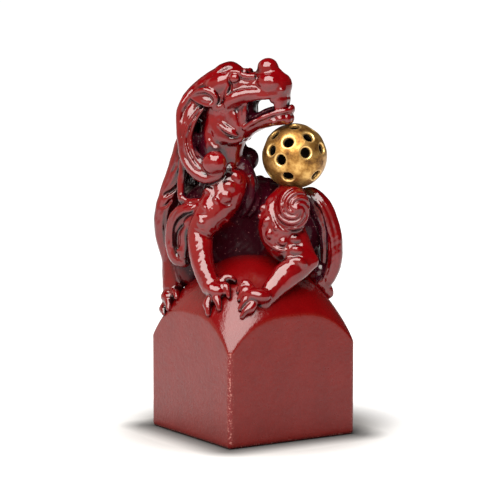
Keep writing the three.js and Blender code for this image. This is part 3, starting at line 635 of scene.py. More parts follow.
mane_folds = [
    ([(-30.2, 19.4), (-27.8, 21), (-25.4, 22.6)], 0.9, 0.9),
    ([(-27.1, 27.6), (-26.2, 29.2), (-25.6, 31)], 0.6, 0.5),
    ([(-30.8, 15.6), (-28.4, 17.2), (-27, 19)], 0.7, 0.5),
    ([(-27.8, 14), (-27.2, 8), (-26.8, 2)], 0.7, 0.5),
]


def mane_outer_lock():
    upper = roll([
        (-20.7, 3, 44, 2.6, 2.4), (-22.2, 3.4, 37.4, 4, 2.8), (-23.6, 3.6, 31.4, 4.4, 3),
        (-25.6, 4.2, 26.2, 4, 2.8), (-28.4, 5, 22, 2.8, 2.4), (-30.6, 5.6, 19.6, 1.2, 1.4),
    ], strands=4, strand_depth=0.3)
    lower = roll([
        (-24, 5, 28, 2.4, 2), (-27.4, 5.6, 21, 3.6, 2.8), (-29.4, 6.4, 14, 4, 3), (-29.9, 6.8, 7.6, 3.6, 3),
        (-29.2, 7, 2, 3.1, 2.6), (-28.6, 7, -2.4, 2.2),
    ], strands=4, strand_depth=0.25)
    form = joined(0.25, upper, lower)
    engrave_side(form, mane_folds, 12)
    return form


def mane_side_lock():
    fall = roll([
        (-20, -1.5, 40, 2.2, 2), (-22, -2.6, 34, 2.2, 1.8), (-23.4, -3.2, 28, 1.5), (-24, -3.8, 22.6, 1.3),
        (-23.6, -5, 19.4, 1.2), (-21, -7, 18.9, 1.1), (-17.8, -8.6, 19, 1.2),
    ])
    return joined(0.4, fall, bead(at(-23.4, -5.6, 19.5), 1.5))


def mane_back_lock():
    return roll([
        (-16, 5, 51, 3, 2.4), (-18, 8, 43, 4.4, 3), (-18.5, 10, 34, 4.8, 3), (-19.5, 11.5, 25, 4.2, 2.8),
        (-21.5, 12, 17, 2.4, 2),
    ], facing=away, strands=5, strand_depth=0.4)


def mane_far_lock():
    return roll([
        (-8.5, 6.5, 51, 3, 2.4), (-9, 9, 43, 4.2, 2.8), (-9.5, 10.5, 34.5, 4.4, 2.8),
        (-10.5, 11.5, 27, 3.6, 2.4), (-12, 12.5, 20.5, 2, 1.8),
    ], facing=away, strands=5, strand_depth=0.4)


# Forelegs
def left_foreleg():
    arm = roll([
        (-6.6, -6.4, 25, 5.2, 4.8), (-8.8, -7.2, 21.6, 6.6, 5.8), (-11.2, -8.2, 18, 6.3, 5.6),
        (-14.8, -10, 13.4, 5.2, 5), (-17.2, -10.2, 9, 4.4, 4.2), (-17.4, -12, 5, 4.2, 4),
        (-16.7, -14.2, -0.2, 3.9, 3.8), (-15.2, -16.6, -5, 3.6, 3.5), (-13.6, -18.4, -8.4, 3.5, 3),
    ])
    chest_side = pellet(at(-12.6, -6, 21.8), [0.5, 0, 1], toward_viewer - 0.25 * upward, 5.2, 3.8, 4.2)
    form = joined(1.5, arm, chest_side)
    knobs(
        form, 0.65, -0.35,
        (-5.6, 26.8, 2.3, 2), (-7.8, 24, 2.3, 2), (-8.6, 20.8, 1.9, 1.7), (-6.9, 30, 0.9, 0.8),
        (-14.7, 22.6, 1.5, 1.3), (-15.6, 17.2, 1.4, 1.1), (-16.9, 12.2, 1.6, 1.4),
    )
    knobs(form, 0.6, -0.7, (-12, 19.6, 2.1, 0.9))
    knobs(form, 0.3, 0.6, (-6.2, 17.4, 1, 0.9), (-8.6, 13, 1, 0.9), (-11.8, 10.4, 1, 0.9))
    ridge(form, [(-18.6, 10.8), (-16.4, 9.8), (-14, 8.4)], 0.6, 0.4)
    engrave_side(form, (
        ([(-13.2, 25), (-12.6, 22.4), (-13.6, 19.6)], 1, 0.5),
        ([(-10.6, 19.2), (-8.8, 18.4), (-6.6, 19)], 0.8, 0.6),
        ([(-18.4, 15.6), (-16.6, 15), (-14.6, 15.6)], 0.8, 0.35),
        ([(-18, 9), (-15.6, 7.9), (-13.2, 7.2)], 0.8, 0.5),
    ), 0)
    return form


def right_foreleg():
    return roll([
        (-18.5, 8, 17, upper_arm), (-23, 8, 11.5, upper_arm, upper_arm - 1),
        (-25.6, 7.5, 5, forearm + 1, forearm + 0.4), (-26.6, 6.8, -3, forearm + 0.2, forearm),
        [on_dome(-27, 5, 5), forearm - 0.4, forearm - 0.6],
    ])


def paw(palm, along, sizes, toes):
    """A palm, and toes that run out over the dome to their claws. Places are (u, v, height on the dome)."""
    centre = on_dome(*palm)
    form = pellet(centre, along, upward, *sizes)
    for toe_places in toes:
        knuckle, claw = on_dome(*toe_places[:3]), on_dome(*toe_places[3:])
        middle = knuckle + 0.5 * (claw - knuckle) + upward * toe * 0.3
        form = joined(0.4, form, stroke([
            [centre + 0.4 * (knuckle - centre), toe, toe],
            [knuckle, toe * 1.12, toe * 1.12],
            [middle, toe * 0.85, toe * 0.85],
            [claw, toe * 0.6, toe * 0.6],
        ], upward))
    return form


# Palm, its direction and half sizes, and the toes of each paw
paws = {
    "left_forepaw": ((-12.2, -19.4, 3.4), [0.55, -0.75, -0.35], (4.4, 3.8, 2.7), (
        (-8.6, -18, 3, -5.8, -18.8, 1.6), (-8.8, -20.8, 2.9, -7.8, -22.6, 1.3),
        (-11.7, -22.2, 2.7, -10.9, -24.3, 1.2), (-14.8, -21, 2.3, -14.5, -23, 1.2),
    )),
    "left_hindpaw": ((1.6, -24.2, 3), [-0.9, 0.1, 0.1], (4.6, 3.4, 2.6), (
        (-2.4, -21.4, 2.7, -4.6, -22, 1.1), (-2.2, -23.2, 2.7, -4.4, -24.2, 1.2),
        (-1.6, -25, 2.4, -4, -26.4, 1.1), (-0.8, -26.8, 1.8, -3.4, -28, 0.9),
    )),
    "right_forepaw": ((-28, 4.2, 3), [-0.3, -0.9, 0], (4, 3.1, 2.5), (
        (-30.2, 3, 1.9, -30, 0.6, 0.8), (-28.3, 1.4, 2, -28.4, -1.4, 0.8), (-26, 1.4, 2.1, -25.6, -1.6, 0.9),
    )),
    "right_hindpaw": ((3.4, 24, 3.1), [-0.95, 0.2, 0], (4.4, 3.6, 2.6), (
        (0.4, 22.4, 2.4, -2.2, 22.6, 0.9), (0.2, 24.4, 2.3, -2.4, 24.9, 0.9), (0.6, 26.4, 2, -1.8, 27.2, 0.8),
    )),
}


def left_elbow_curl():
    outer = roll([
        (-17.8, -9.4, 17, 1.6, 1.7), (-22.4, -7.4, 16.4, 1.9), (-25.8, -4.6, 13.4, 2.1, 2.2),
        (-27.2, -3.2, 8.5, 2.1, 2.3), (-27, -3, 3, 2.2, 2.3), (-25.4, -3.8, -0.8, 2.2),
        (-22.8, -5.2, -1.6, 2),
    ])
    inner = roll([
        (-18.4, -9.4, 14.4, 1.4, 1.5), (-20.8, -7.8, 12.2, 1.8), (-22.2, -6.4, 7.8, 1.9),
        (-22.4, -6.2, 3.4, 1.9), (-22.8, -5.8, 0.8, 2),
    ])
    backing = roll([
        (-20.4, -6.8, 14.8, 2.2, 1.6), (-22.6, -4.8, 11.5, 3, 1.7), (-24.2, -3.4, 7, 3.2, 1.7),
        (-24, -3.4, 1, 3, 1.7),
    ])
    form = joined(0.4, backing, outer, inner)
    form.lay(bead(at(-24.4, -6.4, 2.2), 1.2), 0.5)
    ridge(form, [(-20.1, 16.2), (-23.2, 15.4), (-25.9, 12.6), (-27.3, 8.4), (-27.2, 4)], 0.5)
    engrave_side(form, (
        ([(-22, 11.8), (-24.7, 8.6), (-25.2, 4.4), (-24.8, 1.6)], 0.6, 0.7),
        ([(-19.2, 17.6), (-22.9, 17.2), (-26.3, 14.2), (-27.8, 8.5), (-27.5, 3.4)], 0.55, 0.45),
    ), 10)
    return form


# Hind legs
def left_hindleg():
    haunch = roll([
        (12.8, -5.5, 20, 5.6, 5.2), (10.4, -7.5, 14.6, 8, 6), (9.3, -9, 9.8, 7.4, 5.9),
        (10.3, -10.2, 5, 5.9, 4.8), (12, -11.2, 2.2, 4.2, 4),
    ])
    shank = roll([(10.5, -11.4, 3, 4, 3.8), (15.5, -12.9, 1.4, 3.4, 3.2), (19.8, -13.4, -0.6, 2.2, 2)])
    foot = roll([
        (19.6, -13.6, -0.6, 2.4, 2.2), (15.6, -15, -2.2, 4.1, 3), (11.6, -16.8, -4.4, 4.6, 3.2),
        (6.4, -20, -9.4, 3.6, 2.9), (3.4, -22.6, -13, 2.9, 2.6),
    ])
    calf = roll([(13.2, -9, 10.5, 3.6), (14.8, -10, 7, 3.9, 3.8), (16.4, -11, 3.6, 3.6), (18.2, -12, 0.8, 3)])
    form = joined(1.2, haunch, calf, shank, foot)
    knobs(
        form, 0.85, 0.3,
        (4.7, 12.6, 1.8, 1.4), (5.7, 8.6, 1.7, 1.2), (10.1, 6, 1.6, 1.4), (3.4, 16.8, 1.5, 1.2),
        (2.4, 14.2, 1, 0.9), (7.6, 10.6, 0.9, 0.8),
    )
    knobs(form, 0.9, 0.15, (14.2, 6.9, 1.6, 2), (14.6, 3.2, 1.8, 2.4))
    knobs(form, 0.4, 0.2, (15, -0.6, 2, 3.2))
    ridge(form, [(3.4, 10.6), (4, 7.2), (5.8, 5), (8.4, 3.6), (10.8, 3.4)], 0.6, 0.45)
    ridge(form, [(6.4, 14.6), (7.4, 12), (9.4, 10), (12, 9.4)], 0.6, 0.45)
    engrave_side(form, [([(7.2, 7.2), (8.8, 4.8), (11.2, 4.2)], 0.7, 0.5)], -4)
    return form


def right_hindleg():
    haunch = roll([
        (12, 11, 17, thigh * 0.7), (10, 13.5, 11.5, thigh, thigh * 0.8),
        (8, 15, 5, thigh * 0.75, thigh * 0.65),
    ], facing=away)
    shank = roll([(8, 16, 4.5, shin), (16.5, 17, -0.5, shin - 1)], facing=away)
    foot = roll([
        (16.5, 17, -0.5, shin - 0.9), (12, 20, -4.5, shin, shin - 0.7),
        [on_dome(6.5, 23, 4), shin - 0.8, shin - 1.1],
    ], facing=away)
    form = joined(1.0, haunch, shank, foot)
    for u, v, h in ((4.8, 17.6, 11), (4.6, 18, 7.4), (7, 19, 4.4), (2.6, 15, 13.6), (10.4, 19.4, 4.6)):
        form.lay(pellet(at(u, v, h), upward, away, 1.5, 1.2, 1.3), 0.8)
    return form


def whorl(centre, axis, hand):
    """A boss of hair whose strands wind in to a button beyond its middle."""
    centre, axis = np.array(centre), unit(axis)
    level = unit(np.cross(axis, upward)) * hand
    rise = unit(np.cross(level, axis)) * hand
    wide, tall, deep = 5.9, 7.7, 4.2
    shift, button = -0.8, 1.4
    strands, strand_width, furrow = 5, 2.0, 1.2
    form = pellet(centre, rise, axis, tall, wide, deep)
    parts, places = form.window(*form.low_high())
    x = span(places, centre, level) - shift
    y = span(places, centre, rise)
    z = span(places, centre, axis)
    reach = np.sqrt(x * x + y * y)
    turn = np.arctan2(y, x)
    wave = np.sqrt(np.abs(np.sin(math.pi * reach / strand_width - strands * turn / 2)))
    shape = np.clip(reach / 1.2 - 0.8, 0, 1)
    form.depth[parts] += furrow * (1 - wave) * shape * np.clip(z / 0.8, 0, 1)
    form.lay(bead(centre + level * shift + axis * (deep - 0.9), button), 0.2)
    return form


tail_hairs = [
    ([(19.8, 19), (22.6, 15.6), (24.2, 10.6), (24.8, 4), (24.6, -2), (23.6, -6.6)], 0.5, 0.35),
    ([(21, 20.6), (24.6, 16.4), (26.8, 10.8), (27.8, 4.4), (27.8, -2)], 0.5, 0.3),
    ([(22.4, 21.4), (26.6, 16.6), (28.6, 11), (29.6, 5)], 0.4, 0.25),
]


def tail():
    plume = roll([
        (15.6, 0.6, 20, 2.2), (19.6, 0.6, 20.2, 3, 2.6), (22.6, -0.8, 16.5, 4.2, 3),
        (25.2, -1.4, 11.2, 4, 3.1), (27, -1.6, 5.2, 3.5, 3), (27, -1.8, -2.2, 3.3, 3),
        (25.8, -1.9, -6.6, 2.9, 2.7), (24.2, -2, -10.2, 1.8),
    ], strands=3, strand_depth=0.3)
    rod = roll([(20.4, 2.6, 14, 0.7), (21.9, 1.4, 7, 0.6), (22.1, 0.6, 0, 0.6), (22.6, 0, -6, 0.7)])
    inner = roll([
        (16.4, -0.4, 21.6, 1.4, 1.6), (19.4, -1.2, 18.8, 1.9, 1.8), (21.6, -1.8, 14.6, 1.8),
        (23.2, -2.2, 10, 1.6, 1.7), (24, -2.4, 4, 1.4, 1.6), (24, -2.4, -2, 1, 1.4),
    ])
    plume = joined(0.3, plume, inner)
    engrave_side(plume, tail_hairs, 0)
    form = joined(0.5, plume, rod)
    knots = (
        (22.8, -0.4, 5.8, 3, 3.2), (21.2, 0.9, 3, 2.8, 3), (23.2, -1.2, 2.6, 2.8, 3),
        (24.6, -0.4, 1.6, 2.2, 2.6),
    )
    for u, v, lift, wide, tall in knots:
        form.lay(pellet(on_dome(u, v, lift), upward, away, tall, wide, 2.8), 0.5)
    return form


def tail_tip():
    return roll([
        (23.4, -1.6, -9.6, 1.6), (25.2, -1.6, -10.8, 1.7, 1.6), (26, -1.4, -13, 1.5),
        [on_dome(25.6, -1.4, 0.8), 1.2, 1.2],
    ])


def single(shape, blend):
    """A piece that is called what its function is called."""
    return shape.__name__, shape(), blend


def pair(shape, blend):
    """A right and a left piece from one function."""
    return [(f"{side}_{shape.__name__}", shape(s), blend) for side, s in (("right", 1), ("left", -1))]


# Every piece of the figure, in the order it is laid on, with its fillet
figure_pieces = [
    single(torso, 2.0), single(neck, 1.5), single(head, 1.2), single(lower_jaw, 0.8), *pair(cheek, 0.6),
    single(left_foreleg, 1.5), single(right_foreleg, 1.5), single(left_hindleg, 1.5),
    single(right_hindleg, 1.5),
    *((name, paw(*places), 0.8) for name, places in paws.items()),
    ("left_haunch_whorl", whorl([13.4, -12.6, 16.8], [0.1, -1, 0.12], 1), 0.5),
    ("right_haunch_whorl", whorl([12, 19, 12.5], [0.1, 1, 0.12], -1), 0.5),
    single(upper_teeth, 0.4), single(tongue, 0.4), *pair(eye, 0.15), *pair(ear, 0.5), single(crest, 0.6),
    single(right_cheek_lock, 0.4), single(left_cheek_lock, 0.4), single(mane_side_lock, 0.4),
    single(mane_outer_lock, 0.5), single(mane_back_lock, 0.5), single(mane_far_lock, 0.5),
    single(spine_ridge, 0.6), single(left_elbow_curl, 0.4), single(tail, 0.5), single(tail_tip, 0.4),
]


def assembled(pieces):
    """The whole figure under its glaze, and at each cell the two least distances to any piece."""
    whole = Clay(grid_low, grid_high)
    nearest = np.full(whole.depth.shape, far, np.float32)
    second = np.full(whole.depth.shape, far, np.float32)
    owner = np.full(whole.depth.shape, -1, np.int8)
    for number, (_, form, blend) in enumerate(pieces):
        whole.lay(form, blend)
        own, others = whole.overlap(form)
        depth = form.depth[others]
        closer = depth < nearest[own]
        second[own] = np.where(closer, nearest[own], np.minimum(second[own], depth))
        nearest[own] = np.where(closer, depth, nearest[own])
        owner[own] = np.where(closer, np.int8(number), owner[own])
    return whole, nearest, second, owner


def soften(depth):
    """Lets the glaze run a little, so that sharp edges and furrows round off."""
    for axis in range(3):
        inner = [slice(None)] * 3
        before, after = list(inner), list(inner)
        inner[axis], before[axis], after[axis] = slice(1, -1), slice(None, -2), slice(2, None)
        depth[tuple(inner)] = (2 * depth[tuple(inner)] + depth[tuple(before)] + depth[tuple(after)]) / 4


def unevenness(form):
    """Small swells and dips left by the potter's fingers."""
    _, (u, v, h) = form.window(*form.low_high())
    slow = np.sin(1.07 * u + 0.6 * h) * np.sin(0.93 * v - 0.5 * h)
    slow = slow + np.sin(0.9 * h + 0.7 * v) * np.sin(1.2 * u - v)
    quick = np.sin(2.3 * u - 1.1 * h) * np.sin(2.1 * v + 1.7 * h)
    return slow_swell * slow + quick_swell * quick


def share_of(whole, nearest, second, owner, number, form):
    """One piece's share of the glazed figure. It laps under its neighbours at the seams."""
    own, _ = whole.overlap(form)
    rest = np.where(owner[own] == number, second[own], nearest[own])
    beyond = (form.depth - rest) / 2 - seam_overlap
    return np.maximum(whole.depth[own] + seam_step * (number % 5), beyond)


def field_mesh(depth, start, size):
    """The zero surface of a field as a mesh, in millimetres. Small crumbs are dropped."""
    band = 3 * size
    grid = openvdb.FloatGrid(band)
    padded = np.pad(np.clip(depth, -band, band), 1, constant_values=band)
    grid.copyFromArray(padded.astype(np.float32))
    points, quads = grid.convertToQuads(isovalue=0.0)
    points = np.asarray(points, np.float64) - 1
    quads = np.asarray(quads, np.int64)
    keep = main_part(len(points), quads)
    quads = quads[keep[quads[:, 0]]]
    used = np.unique(quads)
    lookup = np.full(len(points), -1)
    lookup[used] = np.arange(len(used))
    points, quads = settled(depth, points[used]), lookup[quads]
    return start + points * size, quads


def main_part(count, quads):
    """Which points belong to the largest connected part."""
    label = np.arange(count)
    while True:
        least = label[quads].min(1)
        fresh = label.copy()
        for corner in range(4):
            np.minimum.at(fresh, quads[:, corner], least)
        fresh = fresh[fresh]
        if (fresh == label).all():
            break
        label = fresh
    names, counts = np.unique(label[quads[:, 0]], return_counts=True)
    return label == names[counts.argmax()]


def slope(depth, points):
    steps = 0.5 * np.eye(3)
    return np.stack([sampled(depth, points + step) - sampled(depth, points - step) for step in steps], -1)


def settled(depth, points):
    """Points moved onto the field's zero surface, in two moves of at most 0.4 cells."""
    longest = 0.4
    for _ in range(2):
        value = sampled(depth, points)
        rise = slope(depth, points)
        length = np.maximum((rise**2).sum(1), 1e-4)
        move = -value / length
        move = np.clip(move * np.sqrt(length), -longest, longest) / np.sqrt(length)
        points = points + rise * move[:, None]
    return points


def shelter(whole, points, directions):
    """How far each place on the figure is hidden among its folds: 0 in the open, 1 in a deep hollow."""
    hidden = np.zeros(len(points))
    reaches = (2.0, 4.0, 8.0, 13.0)
    for reach in reaches:
        spot = (points + directions * reach - grid_low) / cell
        hidden += np.clip(1 - sampled(whole.depth, spot) / reach, 0, 1)
    return hidden / len(reaches)


# Hollows painted dark, partly as glaze pooling and partly as painted shade: centre and radius, and how
# far the darkening thins out round them
shade_pool_edge = 2.5
pools_and_shade = [
    (at(-4, -6, 2), 9), (at(0, -3, 16), 7.5), (at(6, 2, 24), 8), (at(2, 2, 32), 8), (at(-14, -4, 32), 5),
    (at(-18.5, -2, 20), 5), (at(-16.5, -2, 36), 5), (at(20.5, -2, 8), 5), (at(-13, 0, -2), 9),
    (at(20.5, 0, -6), 5), (at(14, -2, 20), 6), (at(-22, 3, 2), 6), (on_head(8, 0, 49.5), 6),
    (on_head(14, 0, 49), 4), (at(17, 3, 10), 8),
]
# Pieces in the hollows behind the others, painted darker all over as shade, and dark in the open too
shaded_back_pieces = ("torso", "left_cheek_lock", "spine_ridge", "mane_far_lock", "tongue")


def pooled(name, points, hidden):
    """How dark each place is painted, from 0 to 1: glaze pooling and painted shade in the hollows."""
    thickness = np.zeros(len(points))
    for centre, radius in pools_and_shade:
        outside = np.linalg.norm(points - centre, axis=1) - radius
        thickness = np.maximum(thickness, 1 - outside / shade_pool_edge)
    thickness = np.clip(thickness, 0, 1)
    return thickness if name in shaded_back_pieces else thickness * np.clip(4 * hidden - 0.9, 0, 1)


def add_mesh(replaced, points, faces):
    """A smooth mesh in the row's frame, from points in the block's frame in millimetres. It stands in for
    the solid with the name given."""
    name = "finished_" + replaced
    mesh = bpy.data.meshes.new(name)
    mesh.from_pydata((points / 1000).tolist(), [], [tuple(face) for face in faces])
    mesh.validate()
    mesh.polygons.foreach_set("use_smooth", [True] * len(mesh.polygons))
    piece = bpy.data.objects.new(name, mesh)
    bpy.context.scene.collection.objects.link(piece)
    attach(piece, "root")
    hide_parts(replaced)
    return piece


def add_value(piece, name, values):
    attribute = piece.data.attributes.new(name, "FLOAT", "POINT")
    attribute.data.foreach_set("value", np.asarray(values, np.float32))


def outward(points, faces):
    """The faces, all turned so that the mesh is not inside out."""
    a, b, c = (points[faces[:, i]] for i in range(3))
    volume = np.einsum("ij,ij->", a, np.cross(b, c))
    return faces if volume > 0 else faces[:, ::-1]


def build_figure(red, dark_red, shaded_pooled_red):
    """The pieces of the figure: the tongue in dark red, the other back pieces in a red painted darker as
    shade.
    """
    whole, nearest, second, owner = assembled(figure_pieces)
    soften(whole.depth)
    whole.depth += unevenness(whole)
    for number, (name, form, _) in enumerate(figure_pieces):
        depth = share_of(whole, nearest, second, owner, number, form)
        points, faces = field_mesh(depth, grid_low + cell * form.start, cell)
        faces = outward(points, faces)
        rise = slope(whole.depth, (points - grid_low) / cell)
        directions = rise / np.maximum(np.linalg.norm(rise, axis=1), 1e-6)[:, None]
        piece = add_mesh(name, to_block(points), faces)
        hidden = shelter(whole, points, directions)
        add_value(piece, "shelter", hidden)
        add_value(piece, "pool_and_shade", pooled(name, points, hidden))
        finish = shaded_pooled_red if name in shaded_back_pieces else red
        piece.data.materials.append(dark_red if name == "tongue" else finish)


# Ball: the direction its rings of holes are counted from, and each ring's angle from it and holes round it
ball_pole = unit([-0.607, -0.584, 0.539])
ball_hole_rings = [
    (3, (257,)),
    (38, (25, 84, 150, 203, 248, 331)),
    (69, (5, 55, 110, 168, 268)),
    (92, (28, 88, 143, 223, 319)),
    (121, (20, 92, 196, 270)),
    (152, (0, 120)),
    (158, (276,)),
]


hole_fillet = 0.25
flare_extra = 0.2


def ball_hole_directions():
    level = unit(np.cross(upward, ball_pole))
    rise = np.cross(ball_pole, level)
    for polar_degrees, turns in ball_hole_rings:
        polar = math.radians(polar_degrees)
        for turn in np.radians(turns):
            ring = math.cos(turn) * level + math.sin(turn) * rise
            yield math.cos(polar) * ball_pole + math.sin(polar) * ring


def build_ball():
    radius = ball_diameter / 2
    reach = radius + 4 * ball_cell
    steps = np.arange(-reach, reach + ball_cell, ball_cell).astype(np.float32)
    x, y, z = np.ix_(steps, steps, steps)
    from_centre = np.sqrt(x * x + y * y + z * z)
    depth = np.maximum(from_centre - radius, radius - ball_wall - from_centre)
    for direction in ball_hole_directions():
        up_hole = span((x, y, z), origin, direction)
        across = np.sqrt(np.maximum(from_centre**2 - up_hole**2, 0))
        hole = across - ball_hole_diameter / 2
        flare = (hole - (up_hole - radius + ball_hole_chamfer + flare_extra)) / math.sqrt(2)
        gap = np.where(up_hole > 0, np.minimum(hole, flare), far)
        depth = -soft_least(-depth, gap, hole_fillet)
    points, faces = field_mesh(depth, np.full(3, -reach), ball_cell)
    piece = add_mesh("ball", points + to_block(ball_centre), outward(points, faces))
    from_centre = np.linalg.norm(points, axis=1)
    # Painted shade: marks the inside of the ball, which its material colours nearly black
    add_value(piece, "inside", np.clip((radius - 0.45 * ball_wall - from_centre) / 0.5, 0, 1))
    rim = np.full(len(points), far)
    for direction in ball_hole_directions():
        turned = np.arccos(np.clip(points @ direction / from_centre, -1, 1)) * radius
        rim = np.minimum(rim, np.abs(turned - ball_hole_diameter / 2 - hole_fillet))
    add_value(piece, "rim", np.clip(1 - rim / 0.6, 0, 1))
    return piece


# Block: points round its outline, and rows of points up its rounded foot, its sides, its edge and its dome
corner_steps, side_steps = 8, 64
foot_rows, side_rows, edge_rows, dome_rows = 5, 40, 6, 60


def outline_points(inset):
    """A square with rounded corners, drawn in from the block's sides."""
    half = block_width / 2 - inset
    radius = max(block_edge_radius - inset, 0.3)
    straight = half - radius
    points = []
    for quarter in range(4):
        turn = quarter * math.pi / 2
        cos, sin = math.cos(turn), math.sin(turn)
        angles = [math.pi / 2 * k / corner_steps for k in range(corner_steps)]
        places = [(straight + radius * math.cos(a), straight + radius * math.sin(a)) for a in angles]
        places += [(straight - 2 * straight * k / side_steps, half) for k in range(side_steps)]
        points += [(x * cos - y * sin, x * sin + y * cos) for x, y in places]
    return np.array(points)


def ring_at(outline, height):
    """An outline as points in space, at one height or at a height for each point."""
    return np.column_stack([outline, np.broadcast_to(height, len(outline))])


def build_block():
    edge = outline_points(0)
    top = dome_height(*edge.T)
    rows = []
    for share in np.linspace(0, 1, foot_rows):
        angle = math.pi / 2 * share
        inset, height = foot_round * (1 - math.sin(angle)), foot_round * (1 - math.cos(angle))
        rows.append(ring_at(outline_points(inset), height))
    for share in np.linspace(0, 1, side_rows)[1:]:
        rows.append(ring_at(edge, foot_round + share * (top - dome_edge_round - foot_round)))
    for share in np.linspace(0, 1, edge_rows)[1:]:
        angle = math.pi / 2 * share
        ring = outline_points(dome_edge_round * (1 - math.cos(angle)))
        rows.append(ring_at(ring, dome_height(*ring.T) - dome_edge_round * (1 - math.sin(angle))))
    for share in np.linspace(0, 1, dome_rows)[1:-1]:
        ring = outline_points(dome_edge_round) * (1 - share)
        rows.append(ring_at(ring, dome_height(*ring.T)))
    around = len(edge)
    points = np.concatenate(rows)
    here = np.arange(around)
    after = (here + 1) % around
    faces = []
    for first in range(0, len(points) - around, around):
        faces += zip(first + here, first + after, first + around + after, first + around + here)
    crown = len(points)
    points = np.concatenate([points, [[0, 0, crown_height], [0, 0, 0]]])
    final = crown - around
    for k, n in zip(here, after):
        faces += [(final + k, final + n, crown), (n, k, crown + 1)]
    piece = add_mesh("seal_block", points, faces)
    sides = np.abs(points[:, :2]).max(1)
    add_value(piece, "panel", np.clip((sides - block_width / 2 + 0.35) / 0.3, 0, 1))
    edge_reach = np.abs(points[:, 0]) + np.abs(points[:, 1]) - (block_width - 0.6 * block_edge_radius)
    foot_reach = (foot_round - points[:, 2]) * (sides > block_width / 2 - foot_round)
    add_value(piece, "corner", np.clip(np.maximum(1 + edge_reach / 0.9, foot_reach), 0, 1))
    return piece


# Materials
# Nearly black for glaze pooling and painted shade, with pale specks in it
pool_and_shade_colour = (0.022, 0.001, 0.004)
speck_colour = (0.2, 0.08, 0.08)


class Look:
    """The shader nodes of a material or of the world. Values are floats, colours or sockets to link."""

    def __init__(self, owner):
        owner.use_nodes = True
        self.nodes = owner.node_tree.nodes
        self.link = owner.node_tree.links.new

    def add(self, kind, **values):
        """A new node, with values for its named inputs."""
        node = self.nodes.new("ShaderNode" + kind)
        for name, value in values.items():
            node.inputs[name].default_value = value
        return node

    def place(self, space="Object"):
        return self.add("TexCoord").outputs[space]

    def noise(self, scale, detail=3.0, roughness=0.5):
        node = self.add("TexNoise", Scale=scale, Detail=detail, Roughness=roughness)
        self.link(self.place(), node.inputs["Vector"])
        return node.outputs["Fac"]

    def ramp(self, source, *stops):
        """Colours or greys along a value, each stop a place and its colour."""
        node = self.add("ValToRGB")
        elements = node.color_ramp.elements
        while len(elements) < len(stops):
            elements.new(0.5)
        for element, (place, colour) in zip(elements, stops):
            element.position = place
            element.color = (*(grey(colour) if isinstance(colour, float) else colour), 1)
        self.link(source, node.inputs["Fac"])
        return node.outputs["Color"]

    def mixed(self, kind, factor, a, b):
        node = self.add("Mix")
        node.data_type = "RGBA"
        node.blend_type = kind
        for socket, value in zip((node.inputs["Factor"], node.inputs["A"], node.inputs["B"]), (factor, a, b)):
            if isinstance(value, bpy.types.NodeSocket):
                self.link(value, socket)
            else:
                socket.default_value = value if isinstance(value, float) else (*value, 1)
        return node.outputs["Result"]

    def vertex_value(self, name):
        node = self.add("Attribute")
        node.attribute_name = name
        return node.outputs["Fac"]

    def vector_math(self, operation, source, value=None):
        node = self.add("VectorMath")
        node.operation = operation
        self.link(source, node.inputs[0])
        if value is not None:
            node.inputs[1].default_value = value
        return node.outputs["Value" if operation in ("LENGTH", "DOT_PRODUCT") else "Vector"]

    def bump(self, shader, height, strength, distance):
        node = self.add("Bump", Strength=strength, Distance=distance)
        self.link(height, node.inputs["Height"])
        self.link(node.outputs["Normal"], shader.inputs["Normal"])


def grey(value):
    return (value, value, value)


def new_material(name):
    material = bpy.data.materials.new(name)
    look = Look(material)
    return material, look, look.nodes["Principled BSDF"]


def glaze(name, thin, thick, deep, shine):
    """High-gloss glaze whose colour darkens from edges through the open into hollows, partly as glaze pooling
    and partly as painted shade. Where the pool value is high it is nearly black with small pale specks."""
    material, look, shader = new_material(name)
    # Painted shade: the colour darkens as the shelter value rises, into folds and hollows
    body = look.ramp(look.vertex_value("shelter"), (0.1, thin), (0.35, thick), (0.6, deep))
    body = look.mixed("MULTIPLY", 1.0, body, look.ramp(look.noise(160), (0.35, 0.82), (0.7, 1.08)))
    specks = look.ramp(look.noise(1500, 2), (0.68, pool_and_shade_colour), (0.72, speck_colour))
    # Glaze pooling and painted shade: nearly black with pale specks where the pool value is high
    edge = look.ramp(look.vertex_value("pool_and_shade"), (0.2, 0.0), (0.8, 1.0))
    look.link(look.mixed("MIX", edge, body, specks), shader.inputs["Base Color"])
    gloss = look.ramp(look.noise(240, 4), (0.3, 0.05), (0.75, 0.1))
    look.link(look.mixed("MIX", edge, gloss, grey(0.2)), shader.inputs["Roughness"])
    shader.inputs["IOR"].default_value = 1.5
    shader.inputs["Specular IOR Level"].default_value = shine
    look.bump(shader, look.noise(520, 2), 0.09, 0.0004)
    return material


def gilding():
    """Gilding worn to dark patches, bright round the holes, and painted nearly black inside the ball as
    shade.
    """
    material, look, shader = new_material("aged_gilding")
    patches = look.noise(260, 6, 0.65)
    gold = look.ramp(
        patches, (0.34, (0.075, 0.028, 0.007)), (0.48, (0.27, 0.13, 0.028)), (0.66, (0.54, 0.32, 0.1)),
    )
    worn = look.mixed("MIX", look.vertex_value("rim"), gold, (0.66, 0.43, 0.16))
    # Painted shade: nearly black inside the ball
    inner = look.mixed("MIX", look.vertex_value("inside"), worn, (0.012, 0.006, 0.004))
    look.link(inner, shader.inputs["Base Color"])
    shader.inputs["Metallic"].default_value = 0.85
    look.link(look.ramp(patches, (0.35, 0.5), (0.65, 0.3)), shader.inputs["Roughness"])
    look.bump(shader, look.noise(600, 4), 0.25, 0.0003)
    return material


